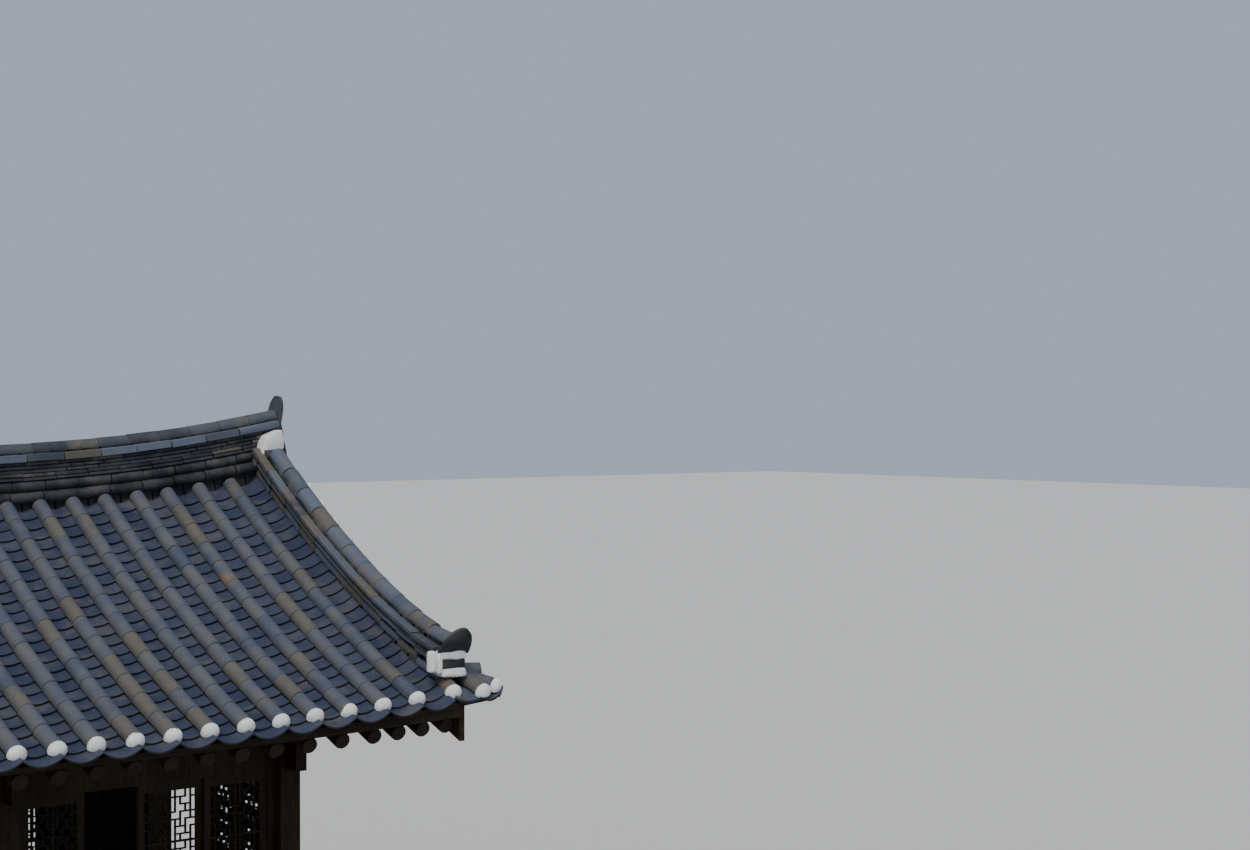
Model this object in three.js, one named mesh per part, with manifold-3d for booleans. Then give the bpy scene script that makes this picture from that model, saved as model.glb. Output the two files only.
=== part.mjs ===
// Gable-roofed hanok house of three bays by two, in millimetres, +Z up.
// The origin lies on the ground, under the middle of the house. The front faces -Y.
import * as THREE from 'three';
import { mergeVertices } from 'three/addons/utils/BufferGeometryUtils.js';
import Module from 'manifold-3d';

const wasm = await Module();
wasm.setup();

// Clearances between pieces
const fit = 0.4;
const ridgeFit = 0.9;

// Finest step of a coordinate that is joined or cut
const snap = 1 / 256;

// Overlap of shapes that are joined into one piece
const bite = 1;

// Plan
const bay = 2400;
const postLines = [-1.5 * bay, -0.5 * bay, 0.5 * bay, 1.5 * bay];
const wallY = bay;
const gableX = 1.5 * bay;
const postSide = 180;
const postHalf = postSide / 2;

// Stone platform and plinths
const platformX = 4350;
const platformY = 3050;
const platformTop = 450;
const copingLip = 40;
const copingHeight = 130;
const plinthSide = 280;
const plinthTop = 650;

// Walls
const floorTop = 850;
const headBottom = 2760;
const gableHeadBottom = 2700;
const frameSetback = 120;
const frameDepth = 110;
const jambWidth = 60;
const frameFace = wallY + postHalf - frameSetback;
const frameBack = frameFace - frameDepth;
const frameLength = bay - postSide;
const plasterRecess = 15;
const midRailBottom = 1700;
const midRailTop = 1790;

// Sliding lattice leaves
const clearWidth = frameLength - 2 * jambWidth;
const leavesPerBay = 4;
const narrowLeaf = 510;
const wideLeaf = 564;
const thirdLeaf = -68;
const leafThick = 34;
const trackGap = 10;
const leafClear = 5;
const jambGap = 1;
const latticeRows = 4;
const slidingColumns = 2;
const stileWidth = 58;
const bottomRail = 150;
const topRail = 75;
const barWidth = 12;
const grooveWidth = 18;
const grooveDepth = 6;
const headGrooveDepth = 15;
const tongueWidth = 8;
const outerTrack = frameFace - frameDepth / 2 + (leafThick + trackGap) / 2;
const innerTrack = outerTrack - leafThick - trackGap;

// Roof timbers
const beamBottom = 2780;
const beamTop = 3120;
const beamWidth = 180;
const beamNose = 180;
const noseWidth = 100;
const purlinRadius = 100;
const purlinSides = 12;
const purlinBarWidth = 80;
const purlinBarHeight = 100;
const middlePurlinY = 1200;
const upperBeamHeight = 240;
const strutHalf = 80;
const kingFootHalf = 180;
const kingHeadHalf = 90;
const kingThick = 120;
const rafterRadius = 65;
const rafterSides = 8;
const rafterPitch = 296;
const firstRafter = 378;
const raftersEachSide = 13;
const edgeRafterPitch = 230;
const edgeRafters = 3;
const rafterEndY = 3270;
const rafterEndZ = 3067;
const rafterSlope = 0.4;
const rafterTail = 120;
const upperRafterRadius = 55;
const deckThick = 34;
const deckBite = 12;
const deckRidgeZ = 4570;
const deckEndX = 4690;

// Roof surface: the crown line of the cover tiles
const tileEndY = 3400;
const crownEaveZ = 3343;
const crownSlope = 0.356;
const crownSag = 0.0404e-3;
const crownLiftEave = 0.0013e-6;
const crownLiftRidge = 0.0024e-6;
const rafterLift = 0.0006e-6;
const tileDepth = 160;
const bedEndY = 3385;
const bedEndX = 5080;
const vergeThick = 30;

// Rows of cover tiles, sunk into the bed
const rowPitch = 303;
const rowsEachSide = 14;
const rowRadius = 63;
const rowCentreDepth = 68;
const rowFootDepth = 172;
const rowCorners = [10, 62, 118, 170].map(THREE.MathUtils.degToRad);

// Ridges
const mainRidgeTop = 5400;
const mainRidgeLift = 0.003045e-6;
const mainRidgeHalf = 190;
const mainRidgeEndX = 4800;
const rowTopY = mainRidgeHalf + 10;
const endTileHalf = 145;
const endTileHeight = 163;
const endTileRoot = 250;
const endTileThick = 45;
const endTileLean = 0.24;
const endTileX = 4825;
const endTileZ = 5700;
const descentX = 4640;
const descentHalf = 150;
const descentHeight = 320;
const descentEndY = 3300;
const footTileHalf = 145;
const footTileHeight = 250;
const footTileRoot = 60;
const footTileThick = 30;
const footTileLean = 0.6;
const footTileDepth = 75;
const archSegments = 10;

// Gables
const bargeEndY = 3360;
const bargeThick = 50;
const bargeDepth = 300;
const gablePanelThick = 60;
const gablePanelY = 2250;
const gablePanelClear = 5;
const plasterProud = 30;
const plasterFace = gableX + plasterProud;

const colours = {
  wood: { color: 0x4a2f20, roughness: 0.75, metalness: 0 },
  darkWood: { color: 0x33221a, roughness: 0.8, metalness: 0 },
  tile: { color: 0x50565f, roughness: 0.7, metalness: 0 },
  stone: { color: 0xb3aca2, roughness: 0.9, metalness: 0 },
  plaster: { color: 0xe6e1d6, roughness: 0.95, metalness: 0 },
};

const group = new THREE.Group();

// Adds one named piece to the house.
function addPiece(name, piece, colour) {
  const material = new THREE.MeshStandardMaterial(colours[colour]);
  const mesh = new THREE.Mesh(asGeometry(piece), material);
  mesh.name = name;
  group.add(mesh);
  return mesh;
}

// A box between two corners.
function box(x0, x1, y0, y1, z0, z1) {
  const geometry = new THREE.BoxGeometry(x1 - x0, y1 - y0, z1 - z0);
  geometry.translate((x0 + x1) / 2, (y0 + y1) / 2, (z0 + z1) / 2);
  return geometry;
}

// Turns a closed geometry into a solid for joining and cutting.
function solid(geometry) {
  const bare = geometry.clone();
  bare.deleteAttribute('normal');
  bare.deleteAttribute('uv');
  const corners = bare.attributes.position;
  corners.array.forEach((value, i) => {
    corners.array[i] = Math.round(value / snap) * snap;
  });
  const merged = mergeVertices(bare, snap / 4);
  const vertProperties = new Float32Array(merged.attributes.position.array);
  const triVerts = new Uint32Array(merged.index.array);
  return new wasm.Manifold(new wasm.Mesh({ numProp: 3, vertProperties, triVerts }));
}

// Turns a solid back into a geometry.
function geometryOf(body) {
  const mesh = body.getMesh();
  const geometry = new THREE.BufferGeometry();
  geometry.setAttribute('position', new THREE.BufferAttribute(mesh.vertProperties.slice(), 3));
  geometry.setIndex(new THREE.BufferAttribute(mesh.triVerts.slice(), 1));
  geometry.computeVertexNormals();
  return geometry;
}

// A solid from a geometry, or the solid itself.
function asSolid(piece) {
  return piece instanceof THREE.BufferGeometry ? solid(piece) : piece;
}

// Joins several closed pieces into one solid.
function join(pieces) {
  return pieces.map(asSolid).reduce((body, piece) => body.add(piece));
}

// Cuts several closed pieces out of one.
function cut(piece, cutters) {
  return cutters.map(asSolid).reduce((body, cutter) => body.subtract(cutter), asSolid(piece));
}

// A geometry from a solid, or the geometry itself.
function asGeometry(piece) {
  return piece instanceof THREE.BufferGeometry ? piece : geometryOf(piece);
}

// Six times the volume that a triangle list encloses, for its facing.
function signedVolume(points, triangles) {
  let sum = 0;
  for (const [a, b, c] of triangles) {
    const edge = new THREE.Vector3().crossVectors(points[b], points[c]);
    sum += points[a].dot(edge);
  }
  return sum;
}

// A closed solid through rings of matching points; flat gives a ring point's place in the end caps.
function loft(rings, flat) {
  const count = rings[0].length;
  const points = rings.flat();
  const triangles = [];
  for (let i = 0; i + 1 < rings.length; i += 1) {
    for (let j = 0; j < count; j += 1) {
      const a = i * count + j;
      const b = i * count + (j + 1) % count;
      triangles.push([a, a + count, b + count]);
      triangles.push([a, b + count, b]);
    }
  }
  const last = (rings.length - 1) * count;
  for (const [start, ring, turned] of [[0, rings[0], true], [last, rings[rings.length - 1], false]]) {
    const outline = ring.map(flat);
    const clockwise = THREE.ShapeUtils.isClockWise(outline);
    for (const [a, b, c] of THREE.ShapeUtils.triangulateShape(outline, [])) {
      const sameWay = orientation(outline[a], outline[b], outline[c]) < 0 === clockwise;
      const face = sameWay ? [a, b, c] : [a, c, b];
      const facing = turned ? face : [face[0], face[2], face[1]];
      triangles.push(facing.map((k) => k + start));
    }
  }
  const inward = signedVolume(points, triangles) < 0;
  const index = triangles.flatMap(([a, b, c]) => (inward ? [a, c, b] : [a, b, c]));
  const geometry = new THREE.BufferGeometry();
  const numbers = points.flatMap((p) => [p.x, p.y, p.z]);
  geometry.setAttribute('position', new THREE.Float32BufferAttribute(numbers, 3));
  geometry.setIndex(index);
  geometry.computeVertexNormals();
  return geometry;
}

// Positive where three flat points turn anticlockwise.
function orientation(a, b, c) {
  return (b.x - a.x) * (c.y - a.y) - (b.y - a.y) * (c.x - a.x);
}

// Outline points of a rectangle.
function rectangle(u0, u1, z0, z1) {
  return [[u0, z0], [u1, z0], [u1, z1], [u0, z1]];
}

// An upright outline given in Y and Z, pushed out along X from x0 to x1.
function gablePlate(outline, x0, x1) {
  const shape = new THREE.Shape(outline.map(([y, z]) => new THREE.Vector2(y, z)));
  const geometry = new THREE.ExtrudeGeometry(shape, { depth: x1 - x0, bevelEnabled: false });
  const place = new THREE.Matrix4().makeBasis(
    new THREE.Vector3(0, 1, 0),
    new THREE.Vector3(0, 0, 1),
    new THREE.Vector3(1, 0, 0),
  );
  geometry.applyMatrix4(place);
  geometry.translate(x0, 0, 0);
  return geometry;
}

// A many-sided bar between two points.
function roundBar(from, to, radius, sides) {
  const along = new THREE.Vector3().subVectors(to, from);
  const geometry = new THREE.CylinderGeometry(radius, radius, along.length(), sides);
  const turn = new THREE.Quaternion();
  turn.setFromUnitVectors(new THREE.Vector3(0, 1, 0), along.clone().normalize());
  geometry.applyQuaternion(turn);
  geometry.translate((from.x + to.x) / 2, (from.y + to.y) / 2, (from.z + to.z) / 2);
  return geometry;
}

// Height of the cover tiles' crown line over a point of the plan.
function crownZ(x, y) {
  const t = tileEndY - Math.abs(y);
  const lift = crownLiftEave + (crownLiftRidge - crownLiftEave) * t / tileEndY;
  return crownEaveZ + crownSlope * t + crownSag * t * t + lift * Math.abs(x) ** 3;
}

// Height of the tile bed, which the tiles lie on.
function bedZ(x, y) {
  return crownZ(x, y) - tileDepth;
}

// Height of a rafter's middle line over a point of the plan.
function rafterZ(x, y) {
  const t = rafterEndY - Math.abs(y);
  const reach = rafterEndY - middlePurlinY;
  const kneeZ = rafterEndZ + reach * rafterSlope;
  if (t > reach) {
    return kneeZ + (t - reach) / middlePurlinY * (deckRidgeZ - kneeZ);
  }
  return rafterEndZ + t * rafterSlope + rafterLift * Math.abs(x) ** 3 * (1 - t / reach);
}

const rafterTop = rafterRadius * Math.hypot(1, rafterSlope);
const deckZ = (x, y) => rafterZ(x, y) + rafterTop - deckBite + deckThick;

// Height of a purlin's middle, with its rafters lying on its nearest corner.
function purlinZ(y, radius, slope) {
  const corner = 2 * Math.PI / purlinSides;
  const angle = Math.atan(slope);
  const off = angle - Math.round(angle / corner) * corner;
  return rafterZ(0, y) - (radius + purlinRadius * Math.cos(off) + fit) * Math.hypot(1, slope);
}

const eavePurlinZ = purlinZ(wallY, rafterRadius, rafterSlope);
const middlePurlinZ = purlinZ(middlePurlinY, rafterRadius, rafterSlope);
const upperSlope = (deckRidgeZ - rafterZ(0, middlePurlinY)) / middlePurlinY;
const ridgePurlinZ = purlinZ(0, upperRafterRadius, upperSlope);
const wallTop = eavePurlinZ - purlinRadius - purlinBarHeight - fit;
const upperBeamTop = middlePurlinZ - purlinRadius - fit;
const upperBeamBottom = upperBeamTop - upperBeamHeight;
const upperBeamReach = middlePurlinY + beamWidth / 2;
const kingTop = ridgePurlinZ - purlinRadius - fit;
const lowerStationsY = [rafterEndY, 2600, 2100, 1650, middlePurlinY];
const deckStationsY = [...lowerStationsY, 800, 450, mainRidgeHalf, fit];
const bedStationsY = [bedEndY, descentEndY, ...deckStationsY];
const halfStationsX = [900, 1800, 2700, 3400, 4000, descentX - descentHalf];

// Stone platform with a lipped top course and one plinth under each post.
function stonePlatform() {
  const pieces = [
    box(-platformX, platformX, -platformY, platformY, 0, platformTop - copingHeight),
    box(
      -platformX - copingLip, platformX + copingLip,
      -platformY - copingLip, platformY + copingLip,
      platformTop - copingHeight, platformTop,
    ),
  ];
  const places = postLines.flatMap((x) => [[x, -wallY], [x, wallY]]);
  places.push([-gableX, 0], [gableX, 0]);
  for (const [x, y] of places) {
    const half = plinthSide / 2;
    pieces.push(box(x - half, x + half, y - half, y + half, platformTop - bite, plinthTop));
  }
  return join(pieces);
}

// Square post of a long wall, slotted at its head for the nose of a beam.
function wallPost(x, side) {
  const slot = noseWidth / 2 + fit;
  const outline = [
    [-postHalf, plinthTop],
    [postHalf, plinthTop],
    [postHalf, wallTop],
    [slot, wallTop],
    [slot, beamBottom - fit],
    [-slot, beamBottom - fit],
    [-slot, wallTop],
    [-postHalf, wallTop],
  ];
  const shape = new THREE.Shape(outline.map(([u, z]) => new THREE.Vector2(u, z)));
  const geometry = new THREE.ExtrudeGeometry(shape, { depth: postSide, bevelEnabled: false });
  geometry.rotateX(Math.PI / 2);
  geometry.translate(x, side * wallY + postHalf, 0);
  return geometry;
}

// A flat lattice of leaves in a row along u, from start to end.
// Its face lies at v, with the depth towards +v.
function latticePlate(start, end, bottom, top, panels, rows, columns, v, depth) {
  const pitch = (end - start - stileWidth) / panels;
  const low = bottom + bottomRail;
  const high = top - topRail;
  const cellHeight = (high - low - (rows - 1) * barWidth) / rows;
  const cellWidth = (pitch - stileWidth - (columns - 1) * barWidth) / columns;
  const pieces = [box(start, end, v, v + depth, bottom, low), box(start, end, v, v + depth, high, top)];
  for (let panel = 0; panel <= panels; panel += 1) {
    const u = start + panel * pitch;
    pieces.push(box(u, u + stileWidth, v, v + depth, bottom, top));
    for (let column = 1; panel < panels && column < columns; column += 1) {
      const bar = u + stileWidth + column * (cellWidth + barWidth) - barWidth;
      pieces.push(box(bar, bar + barWidth, v, v + depth, bottom, top));
    }
  }
  for (let row = 1; row < rows; row += 1) {
    const z = low + row * (cellHeight + barWidth) - barWidth;
    pieces.push(box(start, end, v, v + depth, z, z + barWidth));
  }
  return join(pieces);
}

// Wall frame of one bay around its middle: foundation, sill, jambs, head rail and header.
// The frame runs along u and its outer face lies at v = 0, with the depth towards +v.
function bayFrame(top, head) {
  const half = frameLength / 2 - fit;
  const inner = clearWidth / 2;
  const foundationHalf = bay / 2 - plinthSide / 2 - fit;
  const lower = plinthTop + fit;
  return join([
    box(-foundationHalf, foundationHalf, 0, frameDepth, platformTop + fit, lower + bite),
    box(-half, half, 0, frameDepth, lower, floorTop),
    box(-half, -inner, 0, frameDepth, floorTop - bite, head + bite),
    box(inner, half, 0, frameDepth, floorTop - bite, head + bite),
    box(-half, half, 0, frameDepth, head, top),
  ]);
}

// Bay frame with the grooves that sliding leaves run in.
function groovedFrame(top) {
  const cutters = [];
  const inner = clearWidth / 2;
  for (const track of [outerTrack, innerTrack]) {
    const v = frameFace - track;
    const half = grooveWidth / 2;
    const low = floorTop - grooveDepth - fit;
    const high = headBottom + headGrooveDepth;
    cutters.push(box(-inner, inner, v - half, v + half, low, floorTop + bite));
    cutters.push(box(-inner, inner, v - half, v + half, headBottom - bite, high));
  }
  return cut(bayFrame(top, headBottom), cutters);
}

// Bay frame closed by four lattice leaves.
function closedBay(frameTop, head) {
  const inner = clearWidth / 2 + bite;
  const v = (frameDepth - leafThick) / 2;
  const bottom = floorTop - bite;
  const top = head + bite;
  const leaves = latticePlate(-inner, inner, bottom, top, leavesPerBay, latticeRows, 1, v, leafThick);
  return join([bayFrame(frameTop, head), leaves]);
}

// Bay filled by a plastered wall between its timbers.
function plasteredBay(top, head) {
  const inner = clearWidth / 2 + bite;
  const back = frameDepth - plasterRecess;
  const wall = box(-inner, inner, plasterRecess, back, floorTop - bite, head + bite);
  const rail = box(-inner, inner, 0, frameDepth, midRailBottom, midRailTop);
  return join([bayFrame(top, head), wall, rail]);
}

// One sliding leaf standing in the grooves of its track, along u from start.
function slidingLeaf(start, width, track) {
  const bottom = floorTop + leafClear;
  const top = headBottom - leafClear;
  const end = start + width;
  const v = frameFace - track;
  const face = v - leafThick / 2;
  const leaf = latticePlate(start, end, bottom, top, 1, latticeRows, slidingColumns, face, leafThick);
  const half = tongueWidth / 2;
  const low = floorTop - grooveDepth;
  const high = headBottom + headGrooveDepth - leafClear;
  const foot = box(start + leafClear, end - leafClear, v - half, v + half, low, bottom + bite);
  const head = box(start + leafClear, end - leafClear, v - half, v + half, top - bite, high);
  return join([leaf, foot, head]);
}

// Puts a wall piece, drawn along u with its face at v = 0, in a front or back bay.
function placeLong(piece, x, side) {
  const geometry = asGeometry(piece);
  if (side > 0) {
    geometry.rotateZ(Math.PI);
  }
  geometry.translate(x, side * frameFace, 0);
  return geometry;
}

// Puts a wall piece in a gable bay.
function placeGable(piece, y, side) {
  const geometry = asGeometry(piece);
  geometry.rotateZ(side * Math.PI / 2);
  geometry.translate(side * (gableX - wallY + frameFace), y, 0);
  return geometry;
}

// A gable bay, cut back at its inner corner, where the long wall's frame passes.
function gableBay(piece, y, side) {
  const start = frameBack - fit - bay / 2;
  const depth = postSide - frameSetback - fit;
  const end = side * Math.sign(y);
  const [u0, u1] = end > 0 ? [start, bay] : [-bay, -start];
  const corner = box(u0, u1, depth, frameDepth + bite, 0, beamTop);
  return placeGable(cut(piece, [corner]), y, side);
}

// Cross frame: a beam with its noses, two struts, an upper beam and a king post.
function crossFrame(x) {
  const half = beamWidth / 2;
  const nose = wallY + postHalf + beamNose;
  const inner = wallY - postHalf - fit;
  const foot = upperBeamTop - bite;
  const kingOutline = [
    [-kingFootHalf, foot],
    [kingFootHalf, foot],
    [kingHeadHalf, kingTop],
    [-kingHeadHalf, kingTop],
  ];
  const pieces = [
    box(x - half, x + half, -inner, inner, beamBottom, beamTop),
    box(x - noseWidth / 2, x + noseWidth / 2, -nose, nose, beamBottom, wallTop),
    box(x - half, x + half, -upperBeamReach, upperBeamReach, upperBeamBottom, upperBeamTop),
    gablePlate(kingOutline, x - kingThick / 2, x + kingThick / 2),
  ];
  for (const y of [-middlePurlinY, middlePurlinY]) {
    const [x0, x1, y0, y1] = [x - strutHalf, x + strutHalf, y - strutHalf, y + strutHalf];
    pieces.push(box(x0, x1, y0, y1, beamTop - bite, upperBeamBottom + bite));
  }
  return join(pieces);
}

// Round purlin, with the square bar that carries it where it lies on posts.
function purlin(y, z, barred) {
  const reach = deckEndX - fit;
  const from = new THREE.Vector3(-reach, y, z);
  const to = new THREE.Vector3(reach, y, z);
  const round = roundBar(from, to, purlinRadius, purlinSides);
  if (!barred) {
    return round;
  }
  const half = purlinBarWidth / 2;
  const low = z - purlinRadius - purlinBarHeight;
  return join([round, box(-reach, reach, y - half, y + half, low, z - purlinRadius + half / 2)]);
}

// X places of the rafters, closer together past the end posts.
function rafterPlaces() {
  const half = [];
  for (let i = 0; i < raftersEachSide; i += 1) {
    half.push(firstRafter + i * rafterPitch);
  }
  const last = half[half.length - 1];
  for (let i = 1; i <= edgeRafters; i += 1) {
    half.push(last + i * edgeRafterPitch);
  }
  return [0, ...half, ...half.map((x) => -x)];
}

// Stations across the roof, from the left verge to the right one.
function stationsX(ends) {
  const half = [...halfStationsX, ...ends];
  return [...half.map((x) => -x).reverse(), 0, ...half];
}

// Flat points of a section, seen along X and along Y
const seenAlongX = (p) => new THREE.Vector2(p.y, p.z);
const seenAlongY = (p) => new THREE.Vector2(p.x, p.z);

// Board deck of one slope, with its long rafters under it.
function rafterDeck(side) {
  const rings = stationsX([deckEndX - fit]).map((x) => {
    const upper = deckStationsY.map((y) => new THREE.Vector3(x, side * y, deckZ(x, y)));
    const lower = [fit, middlePurlinY, rafterEndY].map((y) => {
      return new THREE.Vector3(x, side * y, deckZ(x, y) - deckThick);
    });
    return [...upper, ...lower];
  });
  const pieces = [loft(rings, seenAlongX)];
  const tailY = middlePurlinY - rafterTail;
  for (const x of rafterPlaces()) {
    const kneeZ = rafterZ(x, middlePurlinY);
    const rise = (kneeZ - rafterZ(x, rafterEndY)) / (rafterEndY - middlePurlinY);
    const from = new THREE.Vector3(x, side * rafterEndY, rafterZ(x, rafterEndY));
    const to = new THREE.Vector3(x, side * tailY, kneeZ + rafterTail * rise);
    pieces.push(roundBar(from, to, rafterRadius, rafterSides));
  }
  return join(pieces);
}

// One row of cover tiles up a slope, from the eave to the foot of the main ridge.
function coverRow(x, side) {
  const places = [...bedStationsY.filter((y) => y > rowTopY), rowTopY];
  const rings = places.map((y) => {
    const middle = crownZ(x, y) - rowCentreDepth;
    const foot = crownZ(x, y) - rowFootDepth;
    const arch = rowCorners.map((angle) => {
      const across = x + rowRadius * Math.cos(angle);
      return new THREE.Vector3(across, side * y, middle + rowRadius * Math.sin(angle));
    });
    const [first, last] = [arch[0], arch[arch.length - 1]];
    return [first.clone().setZ(foot), ...arch, last.clone().setZ(foot)];
  });
  return loft(rings, seenAlongY);
}

// Tile bed of one slope: thick over the deck, thin where it overhangs the gable boards.
function tileBed(side) {
  const thick = stationsX([deckEndX]);
  const thin = [bedEndX, mainRidgeEndX, deckEndX + bite];
  const stations = [...thin.map((x) => [-x, true]), ...thick.map((x) => [x, false])];
  stations.push(...thin.reverse().map((x) => [x, true]));
  const rings = stations.map(([x, overhang]) => {
    const upper = bedStationsY.map((y) => new THREE.Vector3(x, side * y, bedZ(x, y)));
    const lower = bedStationsY.map((y) => {
      const z = overhang ? bedZ(x, y) - vergeThick : deckZ(x, Math.min(y, rafterEndY)) + fit;
      return new THREE.Vector3(x, side * y, z);
    });
    return [...lower, ...upper.reverse()];
  });
  const pieces = [loft(rings, seenAlongX)];
  for (let row = -rowsEachSide; row <= rowsEachSide; row += 1) {
    pieces.push(coverRow(row * rowPitch, side));
  }
  return join(pieces);
}

// Half of the main ridge's section: distance from the middle and depth under the top.
const mainRidgeCourses = [
  [48, 14],
  [80, 55],
  [80, 92],
  [165, 100],
  [165, 170],
  [130, 172],
  [130, 320],
  [172, 335],
  [172, 415],
  [mainRidgeHalf, 425],
  [mainRidgeHalf, 520],
];

// Arched tile that closes a ridge: it stands on a straight root and leans out towards -Y.
function archTile(half, height, root, thick, lean) {
  const foot = [new THREE.Vector2(-half, -root), new THREE.Vector2(half, -root)];
  const arch = new THREE.Shape(foot);
  arch.absellipse(0, 0, half, height, 0, Math.PI, false);
  const settings = { depth: thick, bevelEnabled: false, curveSegments: archSegments };
  const tile = new THREE.ExtrudeGeometry(arch, settings);
  tile.rotateX(Math.PI / 2 + lean);
  return tile;
}

// Main ridge along X, curved up towards both ends, with an arched tile at each.
function mainRidge() {
  const rings = stationsX([mainRidgeEndX]).map((x) => {
    const top = mainRidgeTop + mainRidgeLift * Math.abs(x) ** 3;
    const left = mainRidgeCourses.map(([w, d]) => new THREE.Vector3(x, -w, top - d)).reverse();
    const right = mainRidgeCourses.map(([w, d]) => new THREE.Vector3(x, w, top - d));
    const foot = bedZ(x, mainRidgeHalf) + ridgeFit;
    const under = new THREE.Vector3(x, 0, bedZ(x, 0) + ridgeFit);
    const leftFoot = new THREE.Vector3(x, -mainRidgeHalf, foot);
    const rightFoot = new THREE.Vector3(x, mainRidgeHalf, foot);
    const crest = new THREE.Vector3(x, 0, top);
    return [crest, ...right, rightFoot, under, leftFoot, ...left];
  });
  const pieces = [loft(rings, seenAlongX)];
  for (const side of [-1, 1]) {
    const tile = archTile(endTileHalf, endTileHeight, endTileRoot, endTileThick, endTileLean);
    tile.rotateZ(side * Math.PI / 2);
    tile.translate(side * endTileX, 0, endTileZ);
    pieces.push(tile);
  }
  return join(pieces);
}

// Half of a descending ridge's section: distance from its middle and depth under its top.
const descentCourses = [
  [52, 16],
  [80, 82],
  [descentHalf, 88],
  [descentHalf, 140],
  [112, 143],
  [112, 232],
  [descentHalf, 245],
];

// Descending ridge of one gable slope, ending at the eave in a leaning arched tile.
function descendingRidge(sideX, sideY) {
  const middle = sideX * descentX;
  const edges = [-descentHalf, deckEndX - descentX, descentHalf];
  const under = edges.map((edge) => sideX * (descentX + edge)).sort((a, b) => b - a);
  const places = bedStationsY.slice(1, -1);
  places[places.length - 1] += fit;
  const rings = places.map((y) => {
    const top = crownZ(middle, y) + descentHeight;
    const left = descentCourses.map(([w, d]) => new THREE.Vector3(middle - w, sideY * y, top - d));
    const right = descentCourses.map(([w, d]) => new THREE.Vector3(middle + w, sideY * y, top - d));
    const feet = under.map((x) => new THREE.Vector3(x, sideY * y, bedZ(x, y) + ridgeFit));
    return [...feet, ...left.reverse(), new THREE.Vector3(middle, sideY * y, top), ...right];
  });
  const tile = archTile(footTileHalf, footTileHeight, footTileRoot, footTileThick, footTileLean);
  tile.rotateZ(sideY > 0 ? Math.PI : 0);
  const z = crownZ(middle, descentEndY) + descentHeight - footTileDepth;
  tile.translate(middle, sideY * descentEndY, z);
  return join([loft(rings, seenAlongY), tile]);
}

// Pair of curved gable boards under the verge, meeting below the ridge.
function bargeboards(side) {
  const x = deckEndX + bite;
  const places = [bargeEndY, ...bedStationsY.slice(1, -1)];
  const lineY = [...places.map((y) => -y), 0, ...places.reverse()];
  const upper = lineY.map((y) => [y, bedZ(x, y) - vergeThick - fit]);
  const lower = lineY.map((y) => [y, bedZ(x, y) - vergeThick - fit - bargeDepth]).reverse();
  const outline = [...upper, ...lower];
  if (side < 0) {
    return gablePlate(outline, -x - bargeThick, -x);
  }
  return gablePlate(outline, x, x + bargeThick);
}

// Outlines of the plaster fields between the timbers of a gable's cross frame.
function plasterFields() {
  const gap = gablePanelClear;
  const low = beamTop + fit;
  const side = middlePurlinY + purlinRadius + gap;
  const middle = middlePurlinY - rafterTail - rafterRadius;
  const underRafter = (y) => rafterZ(gableX, y) - rafterTop - gap;
  const underDeck = (y) => deckZ(0, y) - deckThick - 2 * upperRafterRadius - gap;
  const strutSide = middlePurlinY - strutHalf - fit;
  const fields = [rectangle(-strutSide, strutSide, low, upperBeamBottom - fit)];
  for (const turn of [-1, 1]) {
    const place = ([y, z]) => [turn * y, z];
    const outer = [[gablePanelY, low], [gablePanelY, underRafter(gablePanelY)]];
    fields.push([[side, low], ...outer, [side, underRafter(side)]].map(place));
    const foot = upperBeamTop + fit;
    const head = kingTop - gap;
    const field = [[kingFootHalf + gap, foot], [middle, foot], [middle, underDeck(middle)]];
    const headY = (rafterZ(0, 0) - 2 * upperRafterRadius - head) / upperSlope;
    field.push([Math.max(headY, kingHeadHalf + gap), head], [kingHeadHalf + gap, head]);
    fields.push(field.map(place));
  }
  return fields;
}

// Plastered gable wall above the beam: a panel behind the cross frame, and a field in each of its gaps.
function gablePanel(side) {
  const inner = gableX - postHalf - gablePanelThick;
  const outer = gableX - postHalf - fit;
  const under = (y) => deckZ(inner, y) - deckThick - gablePanelClear;
  const outline = [
    [-gablePanelY, beamBottom],
    [gablePanelY, beamBottom],
    [gablePanelY, under(gablePanelY)],
    [middlePurlinY, under(middlePurlinY)],
    [0, under(0)],
    [-middlePurlinY, under(middlePurlinY)],
    [-gablePanelY, under(gablePanelY)],
  ];
  const holes = [[-middlePurlinY, middlePurlinZ], [0, ridgePurlinZ], [middlePurlinY, middlePurlinZ]];
  const [x0, x1] = side > 0 ? [inner, outer] : [-outer, -inner];
  const panel = gablePlate(outline, x0, x1);
  const cutters = holes.map(([y, z]) => {
    const from = new THREE.Vector3(x0 - bite, y, z);
    const to = new THREE.Vector3(x1 + bite, y, z);
    return roundBar(from, to, purlinRadius + 2 * fit, purlinSides);
  });
  const [f0, f1] = side > 0 ? [outer - bite, plasterFace] : [-plasterFace, bite - outer];
  const fields = plasterFields().map((field) => gablePlate(field, f0, f1));
  return join([cut(panel, cutters), ...fields]);
}

// Platform and floor
addPiece('stone_platform', stonePlatform(), 'stone');
const floorX = gableX - wallY + frameBack - fit;
addPiece('floor', box(-floorX, floorX, fit - frameBack, frameBack - fit, platformTop, floorTop), 'wood');

// Posts, numbered from the left
postLines.forEach((x, i) => {
  addPiece(`front_post_${i + 1}`, wallPost(x, -1), 'wood');
  addPiece(`back_post_${i + 1}`, wallPost(x, 1), 'wood');
});
for (const [name, x] of [['left_gable_post', -gableX], ['right_gable_post', gableX]]) {
  const top = beamBottom - fit;
  addPiece(name, box(x - postHalf, x + postHalf, -postHalf, postHalf, plinthTop, top), 'wood');
}

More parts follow.
